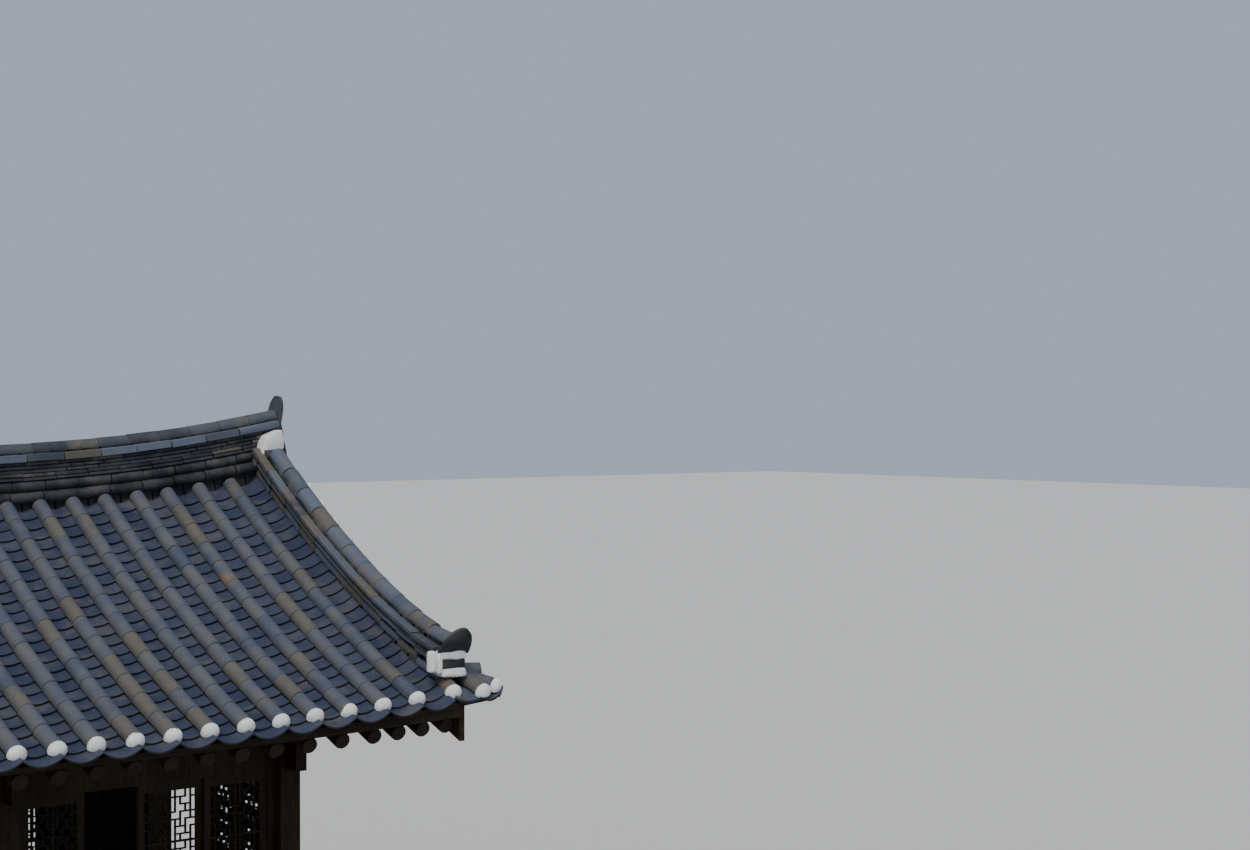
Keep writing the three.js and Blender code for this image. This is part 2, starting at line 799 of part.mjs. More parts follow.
// Bays of the long walls
addPiece('front_left_bay', placeLong(closedBay(wallTop, headBottom), -bay, -1), 'wood');
addPiece('front_middle_bay', placeLong(closedBay(wallTop, headBottom), 0, -1), 'wood');
addPiece('front_right_frame', placeLong(groovedFrame(wallTop), bay, -1), 'wood');
addPiece('back_left_bay', placeLong(closedBay(wallTop, headBottom), -bay, 1), 'wood');
addPiece('back_middle_bay', placeLong(closedBay(wallTop, headBottom), 0, 1), 'wood');
addPiece('back_right_bay', placeLong(closedBay(wallTop, headBottom), bay, 1), 'wood');

// Leaves of the front right bay: the second one stands open, slid behind the first
const firstLeaf = jambGap - clearWidth / 2;
const leaves = [
  ['front_leaf_1', firstLeaf, narrowLeaf, outerTrack],
  ['front_leaf_2', firstLeaf + leafClear, narrowLeaf, innerTrack],
  ['front_leaf_3', thirdLeaf, wideLeaf, innerTrack],
  ['front_leaf_4', -firstLeaf - wideLeaf, wideLeaf, outerTrack],
];
for (const [name, start, width, track] of leaves) {
  addPiece(name, placeLong(slidingLeaf(start, width, track), bay, -1), 'wood');
}

// Gable bays: lattice leaves in front, a plastered wall behind
const gableTop = beamBottom - fit;
addPiece('left_front_bay', gableBay(closedBay(gableTop, gableHeadBottom), -bay / 2, -1), 'wood');
addPiece('left_back_bay', gableBay(plasteredBay(gableTop, gableHeadBottom), bay / 2, -1), 'wood');
addPiece('right_front_frame', gableBay(bayFrame(gableTop, gableHeadBottom), -bay / 2, 1), 'wood');
addPiece('right_back_bay', gableBay(plasteredBay(gableTop, gableHeadBottom), bay / 2, 1), 'wood');
const pairLength = clearWidth / 2;
const pairStart = fit - clearWidth / 2;
const pairDepth = 2 * leafThick + trackGap;
const pair = latticePlate(
  pairStart, pairStart + pairLength, floorTop + fit, gableHeadBottom - fit,
  leavesPerBay / 2, latticeRows, 1, (frameDepth - pairDepth) / 2, pairDepth,
);
addPiece('right_front_leaves', placeGable(pair, -bay / 2, 1), 'wood');

// Roof timbers
postLines.forEach((x, i) => addPiece(`cross_frame_${i + 1}`, crossFrame(x), 'wood'));
addPiece('front_eave_purlin', purlin(-wallY, eavePurlinZ, true), 'wood');
addPiece('back_eave_purlin', purlin(wallY, eavePurlinZ, true), 'wood');
addPiece('front_middle_purlin', purlin(-middlePurlinY, middlePurlinZ, false), 'wood');
addPiece('back_middle_purlin', purlin(middlePurlinY, middlePurlinZ, false), 'wood');
addPiece('ridge_purlin', purlin(0, ridgePurlinZ, false), 'wood');
addPiece('front_rafters', rafterDeck(-1), 'darkWood');
addPiece('back_rafters', rafterDeck(1), 'darkWood');

// Gables
addPiece('left_gable_wall', gablePanel(-1), 'plaster');
addPiece('right_gable_wall', gablePanel(1), 'plaster');
addPiece('left_bargeboards', bargeboards(-1), 'wood');
addPiece('right_bargeboards', bargeboards(1), 'wood');

// Tiled roof
addPiece('front_tile_bed', tileBed(-1), 'tile');
addPiece('back_tile_bed', tileBed(1), 'tile');
addPiece('main_ridge', mainRidge(), 'tile');
for (const [sideName, sideX] of [['left', -1], ['right', 1]]) {
  for (const [slopeName, sideY] of [['front', -1], ['back', 1]]) {
    addPiece(`${slopeName}_${sideName}_ridge`, descendingRidge(sideX, sideY), 'tile');
  }
}

export default group;
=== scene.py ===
"""Finishes the hanok house: tiles, ridges, lime, timber, lattice, stone and the studio round it."""

import logging
import math
import random
import re
from dataclasses import dataclass
from enum import Enum

import bmesh
import bpy
from mathutils import Matrix, Vector, noise


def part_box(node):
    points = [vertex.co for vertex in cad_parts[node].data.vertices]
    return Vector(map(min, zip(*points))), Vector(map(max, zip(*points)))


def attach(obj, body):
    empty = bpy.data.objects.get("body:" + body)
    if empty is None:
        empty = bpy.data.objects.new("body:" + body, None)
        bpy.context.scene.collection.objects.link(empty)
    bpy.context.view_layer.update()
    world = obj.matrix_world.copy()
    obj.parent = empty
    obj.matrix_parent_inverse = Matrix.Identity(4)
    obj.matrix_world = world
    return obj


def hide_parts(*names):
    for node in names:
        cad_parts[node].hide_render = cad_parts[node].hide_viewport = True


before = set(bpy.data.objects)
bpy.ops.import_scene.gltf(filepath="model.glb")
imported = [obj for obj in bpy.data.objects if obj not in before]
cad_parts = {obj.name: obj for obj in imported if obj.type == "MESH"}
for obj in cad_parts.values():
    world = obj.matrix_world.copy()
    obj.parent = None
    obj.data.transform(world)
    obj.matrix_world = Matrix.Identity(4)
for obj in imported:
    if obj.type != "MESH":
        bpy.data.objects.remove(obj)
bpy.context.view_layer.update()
HOUSE = "house"
log = logging.getLogger("hanok")

# Unseeded, this noise starts from the clock and the lime would differ from run to run
NOISE_SEED = 7
noise.seed_set(NOISE_SEED)

Shape = bmesh.types.BMesh
Socket = bpy.types.NodeSocket
Material = bpy.types.Material
Colour = tuple[float, float, float, float]
Triple = tuple[float, float, float]

# A side is -1 at the front or left, and 1 at the back or right
SLOPES = ((-1, "front"), (1, "back"))
CORNERS = tuple(
    (side_x, side, f"{slope}_{end}")
    for side_x, end in ((-1, "left"), (1, "right")) for side, slope in SLOPES
)

# The tiles' sizes in metres; one ja is a cover tile's length and the pitch of its rows
JA = 0.303
COVER_RADIUS = 0.068
CAP_RADIUS = 0.074
CAP_BULGE = 0.055
CAP_BACK = 0.012
CAP_DROP = 0.003


class Way(Enum):
    """The way that the grain of a timber runs."""

    X = (0.5, 9.0, 9.0)
    Y = (9.0, 0.5, 9.0)
    Z = (9.0, 9.0, 0.5)


class Graph:
    """Adds nodes to one tree and joins them."""

    def __init__(self, tree: bpy.types.NodeTree) -> None:
        """Starts on a tree that is emptied first."""
        self.tree = tree
        tree.nodes.clear()

    def node(self, kind: str, values: dict | None = None, **settings: object) -> bpy.types.Node:
        """Adds a node.

        Args:
            kind: the node's type name.
            values: input name or number, and the number or output socket it takes.
            settings: the node's own properties.

        Returns:
            The node.
        """
        made = self.tree.nodes.new(kind)
        for name, value in settings.items():
            setattr(made, name, value)
        for key, value in (values or {}).items():
            if isinstance(value, Socket):
                self.tree.links.new(value, made.inputs[key])
            else:
                made.inputs[key].default_value = value
        return made

    def math(self, operation: str, *values: object) -> Socket:
        """Adds a Math node and returns its output."""
        return self.node("ShaderNodeMath", dict(enumerate(values)), operation=operation).outputs[0]

    def mix(self, factor: object, low: object, high: object, blend: str = "MIX") -> Socket:
        """Adds a colour Mix node and returns its output."""
        values = {0: factor, 6: low, 7: high}
        return self.node("ShaderNodeMix", values, data_type="RGBA", blend_type=blend).outputs[2]

    def ramp(self, value: object, start: float, end: float) -> Socket:
        """Adds a smooth step from start to end and returns its output."""
        values = {0: value, 1: start, 2: end}
        return self.node("ShaderNodeMapRange", values, interpolation_type="SMOOTHSTEP").outputs[0]

    def noise(self, where: Socket, scale: Socket, **values: float) -> Socket:
        """Adds a Noise node and returns its output."""
        return self.node("ShaderNodeTexNoise", {"Vector": where, "Scale": scale, **values}).outputs[0]

    def join(self, value: Socket, node: bpy.types.Node, key: str) -> None:
        """Joins an output to a node's input."""
        self.tree.links.new(value, node.inputs[key])

    def scaled(self, value: Socket, factor: float, offset: object) -> Socket:
        """Gives a value times a factor, plus an offset."""
        return self.math("MULTIPLY_ADD", value, factor, offset)

    def shaded(self, colour: Socket, value: Socket, factor: float, offset: float) -> Socket:
        """Multiplies a colour by a scaled value."""
        return self.mix(1.0, colour, self.scaled(value, factor, offset), "MULTIPLY")


def make_group(name: str, inputs: dict[str, float], outputs: list[str]) -> Graph:
    """Starts a shader node group.

    Args:
        name: the group's name.
        inputs: its number inputs with their starting values; Vector is added to them.
        outputs: its number outputs.

    Returns:
        A graph on the group that already holds its two ends, named in and out.
    """
    tree = bpy.data.node_groups.new(name, "ShaderNodeTree")
    tree.interface.new_socket("Vector", in_out="INPUT", socket_type="NodeSocketVector")
    for key, value in inputs.items():
        socket = tree.interface.new_socket(key, in_out="INPUT", socket_type="NodeSocketFloat")
        socket.default_value = value
    for key in outputs:
        tree.interface.new_socket(key, in_out="OUTPUT", socket_type="NodeSocketFloat")
    graph = Graph(tree)
    graph.node("NodeGroupInput", name="in")
    graph.node("NodeGroupOutput", name="out")
    return graph


def mottle_group() -> bpy.types.NodeTree:
    """Builds the group of soft blotches and fine specks that every finish uses."""
    graph = make_group("mottle", {"Scale": 3.0, "Fine": 60.0}, ["Blotch", "Speck"])
    start = graph.tree.nodes["in"].outputs
    end = graph.tree.nodes["out"]
    blotch = graph.noise(start["Vector"], start["Scale"], Detail=4.0, Roughness=0.6)
    speck = graph.noise(start["Vector"], start["Fine"], Detail=5.0, Roughness=0.7)
    graph.join(graph.ramp(blotch, 0.35, 0.65), end, "Blotch")
    graph.join(graph.ramp(speck, 0.3, 0.7), end, "Speck")
    return graph.tree


def grain_group() -> bpy.types.NodeTree:
    """Builds the group of wood grain, on a vector that is already stretched along the timber."""
    graph = make_group("grain", {"Scale": 1.0}, ["Streak", "Pore", "Height"])
    start = graph.tree.nodes["in"].outputs
    end = graph.tree.nodes["out"]
    wide = graph.noise(start["Vector"], start["Scale"], Detail=6.0, Roughness=0.65, Distortion=0.6)
    fine = graph.noise(start["Vector"], graph.math("MULTIPLY", start["Scale"], 7.0), Detail=3.0)
    streak = graph.ramp(wide, 0.35, 0.68)
    pore = graph.ramp(fine, 0.42, 0.6)
    graph.join(streak, end, "Streak")
    graph.join(pore, end, "Pore")
    graph.join(graph.scaled(pore, 0.4, streak), end, "Height")
    return graph.tree


MOTTLE = mottle_group()
GRAIN = grain_group()


def rgb(red: float, green: float, blue: float) -> Colour:
    """Gives a linear colour with full cover."""
    return (red, green, blue, 1.0)


@dataclass(frozen=True)
class Finish:
    """A mottled finish of two colours; its subclasses lay other surfaces."""

    name: str
    base: Colour
    second: Colour
    roughness: float = 0.8
    bump: float = 0.3
    gloss: float = 0.25

    def build(self) -> Material:
        """Builds the finish's material and returns it."""
        material = bpy.data.materials.new(self.name)
        material.use_nodes = True
        graph = Graph(material.node_tree)
        values = {"Roughness": self.roughness, "Specular IOR Level": self.gloss}
        shader = graph.node("ShaderNodeBsdfPrincipled", values)
        graph.node("ShaderNodeOutputMaterial", {"Surface": shader.outputs[0]})
        where = graph.node("ShaderNodeTexCoord").outputs["Object"]
        graph.join(self.lay(graph, shader, where), shader, "Base Color")
        return material

    def lay(self, graph: Graph, shader: bpy.types.Node, where: Socket) -> Socket:
        """Lays the surface.

        Args:
            graph: the material's graph.
            shader: its shader, which gets the relief and the roughness.
            where: the object coordinates.

        Returns:
            The surface's colour.
        """
        mottle = self.mottle(graph, where, 2.5, 90.0)
        colour = graph.mix(mottle["Blotch"], self.base, self.second)
        self.relief(graph, shader, mottle["Speck"], 0.006)
        return graph.shaded(colour, mottle["Speck"], 0.3, 0.82)

    def mottle(
        self, graph: Graph, where: Socket, scale: float, fine: float
    ) -> bpy.types.bpy_prop_collection:
        """Places the mottle group at two scales and returns its outputs."""
        values = {"Vector": where, "Scale": scale, "Fine": fine}
        return graph.node("ShaderNodeGroup", values, node_tree=MOTTLE).outputs

    def relief(self, graph: Graph, shader: bpy.types.Node, height: Socket, depth: float) -> None:
        """Raises the surface by a height, to a depth in metres."""
        bump = graph.node("ShaderNodeBump", {"Strength": self.bump, "Distance": depth, "Height": height})
        graph.join(bump.outputs[0], shader, "Normal")


@dataclass(frozen=True)
class ClayFinish(Finish):
    """Fired clay whose colour changes from tile to tile, with painted shade: a warm grey on each tile's -X
    flank, and near black at its joint.
    """

    warm: Colour = rgb(0.108, 0.098, 0.078)
    # painted shade: the warm grey of each tile's -X flank, the side away from the bluish sky light
    shaded_flank: Colour = rgb(0.092, 0.09, 0.084)
    rust: Colour = rgb(0.23, 0.125, 0.05)
    # painted shade at each tile's lower end, where it laps over the tile below
    joint_shade: Colour = rgb(0.008, 0.009, 0.012)
    dust: Colour = rgb(0.17, 0.175, 0.18)
    shaded_flank_share: float = 0.3
    lichen: float = 0.2
    joint_share: float = 0.85

    def lay(self, graph: Graph, shader: bpy.types.Node, where: Socket) -> Socket:
        """Lays the clay and returns its colour."""
        mottle = self.mottle(graph, where, 5.0, 130.0)
        blotch = mottle["Blotch"]
        tint, warmth, blush, shaded_flank, joint = (
            graph.node("ShaderNodeAttribute", attribute_name=key).outputs["Fac"] for key in Heap.LAYERS
        )
        cool = graph.mix(tint, self.base, self.second)
        patchy = graph.ramp(graph.scaled(blotch, 0.5, warmth), 0.45, 1.1)
        colour = graph.mix(patchy, cool, self.warm)
        # painted shade: the -X flank turns warm grey
        shade = graph.math("MULTIPLY", shaded_flank, graph.scaled(blotch, 0.5, self.shaded_flank_share))
        colour = graph.mix(shade, colour, self.shaded_flank)
        rusty = graph.math("MULTIPLY", graph.math("MULTIPLY", blush, shaded_flank), graph.ramp(blotch, 0.1, 0.9))
        colour = graph.mix(rusty, colour, self.rust)
        colour = graph.mix(graph.math("MULTIPLY", blotch, self.lichen), colour, self.dust)
        colour = graph.shaded(colour, mottle["Speck"], 0.4, 0.76)
        graph.join(graph.scaled(blotch, 0.2, self.roughness - 0.1), shader, "Roughness")
        self.relief(graph, shader, mottle["Speck"], 0.004)
        # painted shade at the lower joint
        return graph.mix(graph.math("MULTIPLY", joint, self.joint_share), colour, self.joint_shade)


@dataclass(frozen=True)
class WoodFinish(Finish):
    """Oiled pine whose grain runs one way."""

    gloss: float = 0.12
    way: Way = Way.X

    def lay(self, graph: Graph, shader: bpy.types.Node, where: Socket) -> Socket:
        """Lays the wood and returns its colour."""
        turned = graph.node("ShaderNodeMapping", {"Vector": where, "Scale": self.way.value})
        values = {"Vector": turned.outputs[0], "Scale": 3.0}
        grain = graph.node("ShaderNodeGroup", values, node_tree=GRAIN).outputs
        mottle = self.mottle(graph, where, 1.6, 25.0)
        colour = graph.mix(grain["Streak"], self.base, self.second)
        colour = graph.shaded(colour, grain["Pore"], 0.35, 0.65)
        graph.join(graph.scaled(grain["Streak"], 0.25, self.roughness - 0.15), shader, "Roughness")
        self.relief(graph, shader, grain["Height"], 0.004)
        return graph.shaded(colour, mottle["Blotch"], 0.4, 0.75)


@dataclass(frozen=True)
class GraniteFinish(Finish):
    """Dressed granite with dark grains and rain stains."""

    def lay(self, graph: Graph, shader: bpy.types.Node, where: Socket) -> Socket:
        """Lays the granite and returns its colour."""
        mottle = self.mottle(graph, where, 1.3, 160.0)
        grains = graph.node("ShaderNodeTexVoronoi", {"Vector": where, "Scale": 240.0})
        tint = graph.node("ShaderNodeAttribute", attribute_name="tint").outputs["Fac"]
        colour = graph.mix(graph.scaled(tint, 0.6, 0.1), self.base, self.second)
        colour = graph.shaded(colour, graph.ramp(grains.outputs["Distance"], 0.1, 0.5), 0.45, 0.6)
        self.relief(graph, shader, mottle["Speck"], 0.006)
        return graph.shaded(colour, mottle["Blotch"], 0.3, 0.75)


COVER = ClayFinish("cover_tile", rgb(0.048, 0.068, 0.12), rgb(0.082, 0.096, 0.137), 0.6, 0.35)
PAN = ClayFinish(
    "pan_tile", rgb(0.024, 0.034, 0.071), rgb(0.039, 0.05, 0.09), 0.68, 0.4, shaded_flank_share=-0.2, lichen=0.12
)
# The ridge clay runs from near black, the painted-shade end, to a light blue; each course picks its place
# between them
RIDGE_CLAY = ClayFinish(
    "ridge_tile", rgb(0.014, 0.016, 0.021), rgb(0.115, 0.143, 0.2), 0.66, 0.35,
    shaded_flank_share=-0.1, joint_share=0.35,
)
LIME = Finish("lime", rgb(0.84, 0.85, 0.86), rgb(0.7, 0.71, 0.71), 0.9, 0.5)
PLASTER = Finish("plaster", rgb(0.6, 0.57, 0.5), rgb(0.68, 0.65, 0.58), 0.92, 0.25)
# Dark mortar whose near black also stands as painted shade in the gaps under the cover tiles
EARTH_AND_SHADE = Finish("roof_mortar_and_shade", rgb(0.018, 0.017, 0.014), rgb(0.034, 0.032, 0.026), 0.95, 0.6)
GRANITE = GraniteFinish("granite", rgb(0.42, 0.4, 0.37), rgb(0.56, 0.53, 0.49), 0.85, 0.4)
# Near-black pine: painted shade for the dark interior
INTERIOR_SHADE_PINE = WoodFinish("interior_shade_pine", rgb(0.006, 0.004, 0.003), rgb(0.014, 0.009, 0.006), 0.8, 0.3, 0.05, Way.Z)
# The pine's own brown, darkened to near black as painted shade for the deep shade under the eaves
SHADED_WOOD_BASE = rgb(0.0155, 0.0105, 0.0062)
SHADED_WOOD_STREAK = rgb(0.038, 0.0255, 0.0138)


def pine(way: Way) -> WoodFinish:
    """Gives the house's wood, darkened as painted shade, with its grain along one way."""
    return WoodFinish(f"pine_{way.name.lower()}", SHADED_WOOD_BASE, SHADED_WOOD_STREAK, 0.7, 0.35, way=way)


def put(name: str, data: bpy.types.ID) -> bpy.types.Object:
    """Puts an object that holds the data into the scene and returns it."""
    made = bpy.data.objects.new(name, data)
    bpy.context.scene.collection.objects.link(made)
    return made


class Workshop:
    """Builds each finish once and turns bmeshes into pieces of the house."""

    def __init__(self) -> None:
        """Starts with no finish built."""
        self.finishes: dict[str, Material] = {}

    def material(self, finish: Finish) -> Material:
        """Gives a finish's material, built the first time."""
        if finish.name not in self.finishes:
            self.finishes[finish.name] = finish.build()
        return self.finishes[finish.name]

    def piece(
        self, name: str, bm: Shape, finish: Finish, slot: str, body: str = HOUSE,
        stands_for: str = "", sharp: float = 40.0,
    ) -> None:
        """Makes a bmesh a piece of the house.

        Args:
            name: the piece's name.
            bm: its shape, in the house's frame; it is freed.
            finish: its finish.
            slot: not used.
            body: the body that it rides on.
            stands_for: the node that it replaces, if it replaces one.
            sharp: the angle in degrees above which an edge stays sharp.
        """
        for face in bm.faces:
            face.smooth = True
        limit = math.radians(sharp)
        for edge in bm.edges:
            if edge.calc_face_angle(0.0) > limit:
                edge.smooth = False
        mesh = bpy.data.meshes.new(name)
        bm.to_mesh(mesh)
        bm.free()
        mesh.materials.append(self.material(finish))
        made = put(name, mesh)
        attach(made, body)
        if stands_for:
            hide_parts(stands_for)
        log.info("%s: %d faces", name, len(mesh.polygons))


class Heap:
    """Gathers copies of small shapes into one bmesh, each with its own clay colour."""

    LAYERS = ("tint", "warmth", "blush", "shaded_flank", "joint")
    FLANK_REACH = 0.11
    JOINT_DEPTH = 0.002

    def __init__(self, seed: int) -> None:
        """Starts an empty heap with its own random numbers."""
        self.bm = bmesh.new()
        self.random = random.Random(seed)
        self.scratch = bpy.data.meshes.new("scratch")

    def mark(self, template: Shape) -> None:
        """Marks a template's vertices: its flank, 1 on the -X side, where the painted shade and the rust go,
        and its joint, 1 at its -Y end, where painted shade goes.
        """
        layers = [template.verts.layers.float.new(key) for key in self.LAYERS]
        low = min(vert.co.y for vert in template.verts)
        for vert in template.verts:
            vert[layers[3]] = min(1.0, max(0.0, 0.5 - vert.co.x / self.FLANK_REACH))
            vert[layers[4]] = 1.0 if vert.co.y < low + self.JOINT_DEPTH else 0.0

    def add(self, template: Shape, place: Matrix, clay: Triple = (0.5, 0.0, 0.0)) -> None:
        """Adds one copy of a template.

        Args:
            template: the shape, round its own origin.
            place: where it goes.
            clay: its tint, its warmth and how much its flank blushes.
        """
        if template.verts.layers.float.get("joint") is None:
            self.mark(template)
        copy = template.copy()
        layers = [copy.verts.layers.float.get(key) for key in self.LAYERS[:3]]
        for vert in copy.verts:
            for layer, value in zip(layers, clay):
                vert[layer] = value
        bmesh.ops.transform(copy, matrix=place, verts=copy.verts)
        copy.to_mesh(self.scratch)
        copy.free()
        self.bm.from_mesh(self.scratch)

    def clay(self, warm_share: float = 0.22, rust_share: float = 0.035) -> Triple:
        """Draws one tile's colour: mostly cool, some warm grey, a few with a rusty side."""
        tint = self.random.random()
        warm = self.random.random() < warm_share
        warmth = self.random.uniform(0.6, 1.0) if warm else self.random.uniform(0.0, 0.25)
        blush = self.random.uniform(0.25, 0.6) if self.random.random() < rust_share else 0.0
        return tint, warmth, blush

    def jitter(self, shift: float, turn: float) -> Matrix:
        """Draws a small move, in metres, and a small turn, in degrees."""
        move = Vector([self.random.uniform(-shift, shift) for _ in range(3)])
        angles = [math.radians(self.random.uniform(-turn, turn)) for _ in range(3)]
        turned = Matrix.Rotation(angles[0], 4, "X") @ Matrix.Rotation(angles[1], 4, "Y")
        return Matrix.Translation(move) @ turned @ Matrix.Rotation(angles[2], 4, "Z")


def ease(bm: Shape, edges: list[bmesh.types.BMEdge], offset: float, segments: int = 1) -> None:
    """Eases some edges of a shape."""
    if offset > 0:
        bmesh.ops.bevel(
            bm, geom=edges, offset=offset, segments=segments, profile=0.5, affect="EDGES", material=-1
        )


def thicken(bm: Shape, through: Vector) -> None:
    """Makes a sheet a closed plate that reaches through to its other face."""
    grown = bmesh.ops.extrude_face_region(bm, geom=bm.faces[:])
    moved = [v for v in grown["geom"] if isinstance(v, bmesh.types.BMVert)]
    bmesh.ops.translate(bm, vec=through, verts=moved)
    bmesh.ops.recalc_face_normals(bm, faces=bm.faces)


def slab(width: float, length: float, height: float, edge: float = 0.0, segments: int = 1) -> Shape:
    """Makes a block with eased edges, centred on its origin, long along Y."""
    bm = bmesh.new()
    bmesh.ops.create_cube(bm, size=1.0)
    bmesh.ops.scale(bm, vec=(width, length, height), verts=bm.verts)
    ease(bm, bm.edges[:], edge, segments)
    return bm


def round_bar(radius: float, length: float, edge: float, sides: int) -> Shape:
    """Makes a round bar with eased ends, centred on its origin, long along Y."""
    bm = bmesh.new()
    bmesh.ops.create_cone(bm, cap_ends=True, segments=sides, radius1=radius, radius2=radius, depth=length)
    bmesh.ops.rotate(bm, matrix=Matrix.Rotation(math.pi / 2, 3, "X"), verts=bm.verts)
    ease(bm, [e for e in bm.edges if abs(e.verts[0].co.y - e.verts[1].co.y) < 1e-6], edge)
    return bm


def keep_half(bm: Shape, normal: Triple, at: Triple) -> None:
    """Cuts a closed shape by a plane, keeps the side that the normal points away from, and closes it."""
    geom = bm.verts[:] + bm.edges[:] + bm.faces[:]
    cut = bmesh.ops.bisect_plane(bm, geom=geom, plane_co=at, plane_no=normal, clear_outer=True)
    rim = [e for e in cut["geom_cut"] if isinstance(e, bmesh.types.BMEdge)]
    bmesh.ops.contextual_create(bm, geom=rim)
    bmesh.ops.recalc_face_normals(bm, faces=bm.faces)


def cover_tile(radius: float, length: float) -> Shape:
    """Makes a half-round cover tile: lower end at the origin, upper end along +Y, flat side down."""
    bm = round_bar(radius, length, 0.007, 18)
    keep_half(bm, (0, 0, -1), (0, 0, -radius * 0.12))
    bmesh.ops.translate(bm, vec=(0, length / 2, 0), verts=bm.verts)
    return bm


def pan_tile(width: float, length: float, sag: float, thick: float) -> Shape:
    """Makes a curved pan tile: lower lip at the origin, upper end along +Y, its middle lowest."""
    bm = bmesh.new()
    bmesh.ops.create_grid(bm, x_segments=10, y_segments=1, size=0.5)
    bmesh.ops.scale(bm, vec=(width, length, 1), verts=bm.verts)
    bmesh.ops.translate(bm, vec=(0, length / 2, 0), verts=bm.verts)
    everything = bm.verts[:] + bm.edges[:] + bm.faces[:]
    bmesh.ops.bisect_plane(bm, geom=everything, plane_co=(0, 0.006, 0), plane_no=(0, 1, 0))
    for vert in bm.verts:
        vert.co.z = sag * (2 * vert.co.x / width) ** 2
    thicken(bm, Vector((0, 0, -thick)))
    return bm


def lime_cap(radius: float, bulge: float, seed: int) -> Shape:
    """Makes the lime that closes a cover tile: a lumpy dome that bulges towards -Y."""
    bm = bmesh.new()
    bmesh.ops.create_uvsphere(bm, u_segments=16, v_segments=12, radius=1.0)
    bmesh.ops.rotate(bm, matrix=Matrix.Rotation(math.pi / 2, 3, "X"), verts=bm.verts)
    bmesh.ops.scale(bm, vec=(radius, bulge, radius), verts=bm.verts)
    roughen(bm, 0.0028, 20.0, seed)
    keep_half(bm, (0, 0, -1), (0, 0, -radius * 0.3))
    keep_half(bm, (0, 1, 0), (0, bulge * 0.35, 0))
    return bm


def arch_tile(half: float, height: float, root: float, thick: float, rim: float) -> Shape:
    """Makes an arched plate with a raised rim, its chord's middle at the origin, that faces -Y."""
    bm = bmesh.new()
    bmesh.ops.create_circle(bm, cap_ends=True, segments=40, radius=1.0)
    bmesh.ops.rotate(bm, matrix=Matrix.Rotation(math.pi / 2, 3, "X"), verts=bm.verts)
    for vert in bm.verts:
        vert.co.x *= half
        vert.co.z = vert.co.z * height if vert.co.z > -0.001 else -root
    thicken(bm, Vector((0, -thick, 0)))
    faces = [f for f in bm.faces if abs(f.normal.y) > 0.9]
    bmesh.ops.inset_region(bm, faces=faces, thickness=rim, depth=-0.006)
    return bm


def roughen(bm: Shape, depth: float, scale: float, seed: int) -> None:
    """Moves each vertex by smooth noise, to make a hand-laid surface."""
    shift = Vector((seed * 3.7, seed * 1.3, seed * 2.1))
    for vert in bm.verts:
        vert.co += noise.noise_vector(vert.co * scale + shift) * depth


def lump(size: Triple, depth: float, seed: int) -> Shape:
    """Makes a lump of hand-laid lime of about the given size, centred on its origin."""
    bm = slab(*size, edge=min(size) * 0.32, segments=3)
    bmesh.ops.subdivide_edges(bm, edges=bm.edges[:], cuts=2, use_grid_fill=True)
    roughen(bm, depth, 14.0, seed)
    return bm


def patch(outline: list[Vector], through: Vector, edge: float, depth: float, seed: int) -> Shape:
    """Makes one mass of hand-laid lime.

    Args:
        outline: the corners of its face, in the house's frame.
        through: from this face to the other one.
        edge: how far its edges are eased.
        depth: how rough it is.
        seed: which roughness it gets.

    Returns:
        The mass.
    """
    bm = bmesh.new()
    bm.faces.new([bm.verts.new(point) for point in outline])
    thicken(bm, through)
    ease(bm, bm.edges[:], edge, 3)
    roughen(bm, depth, 14.0, seed)
    return bm


def frame_at(at: Vector, along: Vector, up: Vector) -> Matrix:
    """Gives the place of a shape whose Y runs along a direction and whose Z points up from it."""
    y = along.normalized()
    x = y.cross(up).normalized()
    z = x.cross(y)
    turned = Matrix((x, y, z)).transposed().to_4x4()
    return Matrix.Translation(at) @ turned


@dataclass(frozen=True)
class RoofShape:
    """The roof's curved surface, measured from the crown line of the cover tiles, in metres."""

    tile_end: float = 3.4
    eave: float = 3.343
    slope: float = 0.356
    sag: float = 0.0404
    lift_eave: float = 0.0013
    lift_ridge: float = 0.0024
    ridge_top: float = 5.4
    ridge_lift: float = 0.003045
    step: float = 0.01

    def crown(self, x: float, t: float) -> float:
        """Height of the crown line at x and at t behind the tile end."""
        lift = self.lift_eave + (self.lift_ridge - self.lift_eave) * t / self.tile_end
        return self.eave + self.slope * t + self.sag * t * t + lift * abs(x) ** 3

    def point(self, x: float, t: float, side: int) -> Vector:
        """Point of the crown surface; side is -1 for the front slope and 1 for the back one."""
        return Vector((x, side * (self.tile_end - t), self.crown(x, t)))

    def place(self, x: float, t: float, side: int) -> Matrix:
        """Frame on the surface: Y up the slope, Z out of the roof."""
        e = self.step
        along = self.point(x, t + e, side) - self.point(x, t - e, side)
        across = self.point(x + e, t, side) - self.point(x - e, t, side)
        up = across.cross(along) if side < 0 else along.cross(across)
        return frame_at(self.point(x, t, side), along, up)

    def walk(self, x: float, start: float, length: float, end: float) -> list[float]:
        """Walks up the surface.

        Args:
            x: the row's place.
            start: where the walk starts, behind the tile end.
            length: each step's length on the surface.
            end: where it has to stop.

        Returns:
            The start of each step.
        """
        places = []
        t = start
        while not places or t < end:
            places.append(t)
            rise = (self.crown(x, t + self.step) - self.crown(x, t)) / self.step
            t += length / math.hypot(1.0, rise)
        return places


@dataclass
class Trade:
    """One trade's work on the house."""

    shop: Workshop

    def build(self) -> None:
        """Makes the trade's pieces."""
        raise NotImplementedError


@dataclass
class RoofTrade(Trade):
    """A trade whose work follows the roof's curve."""

    roof: RoofShape


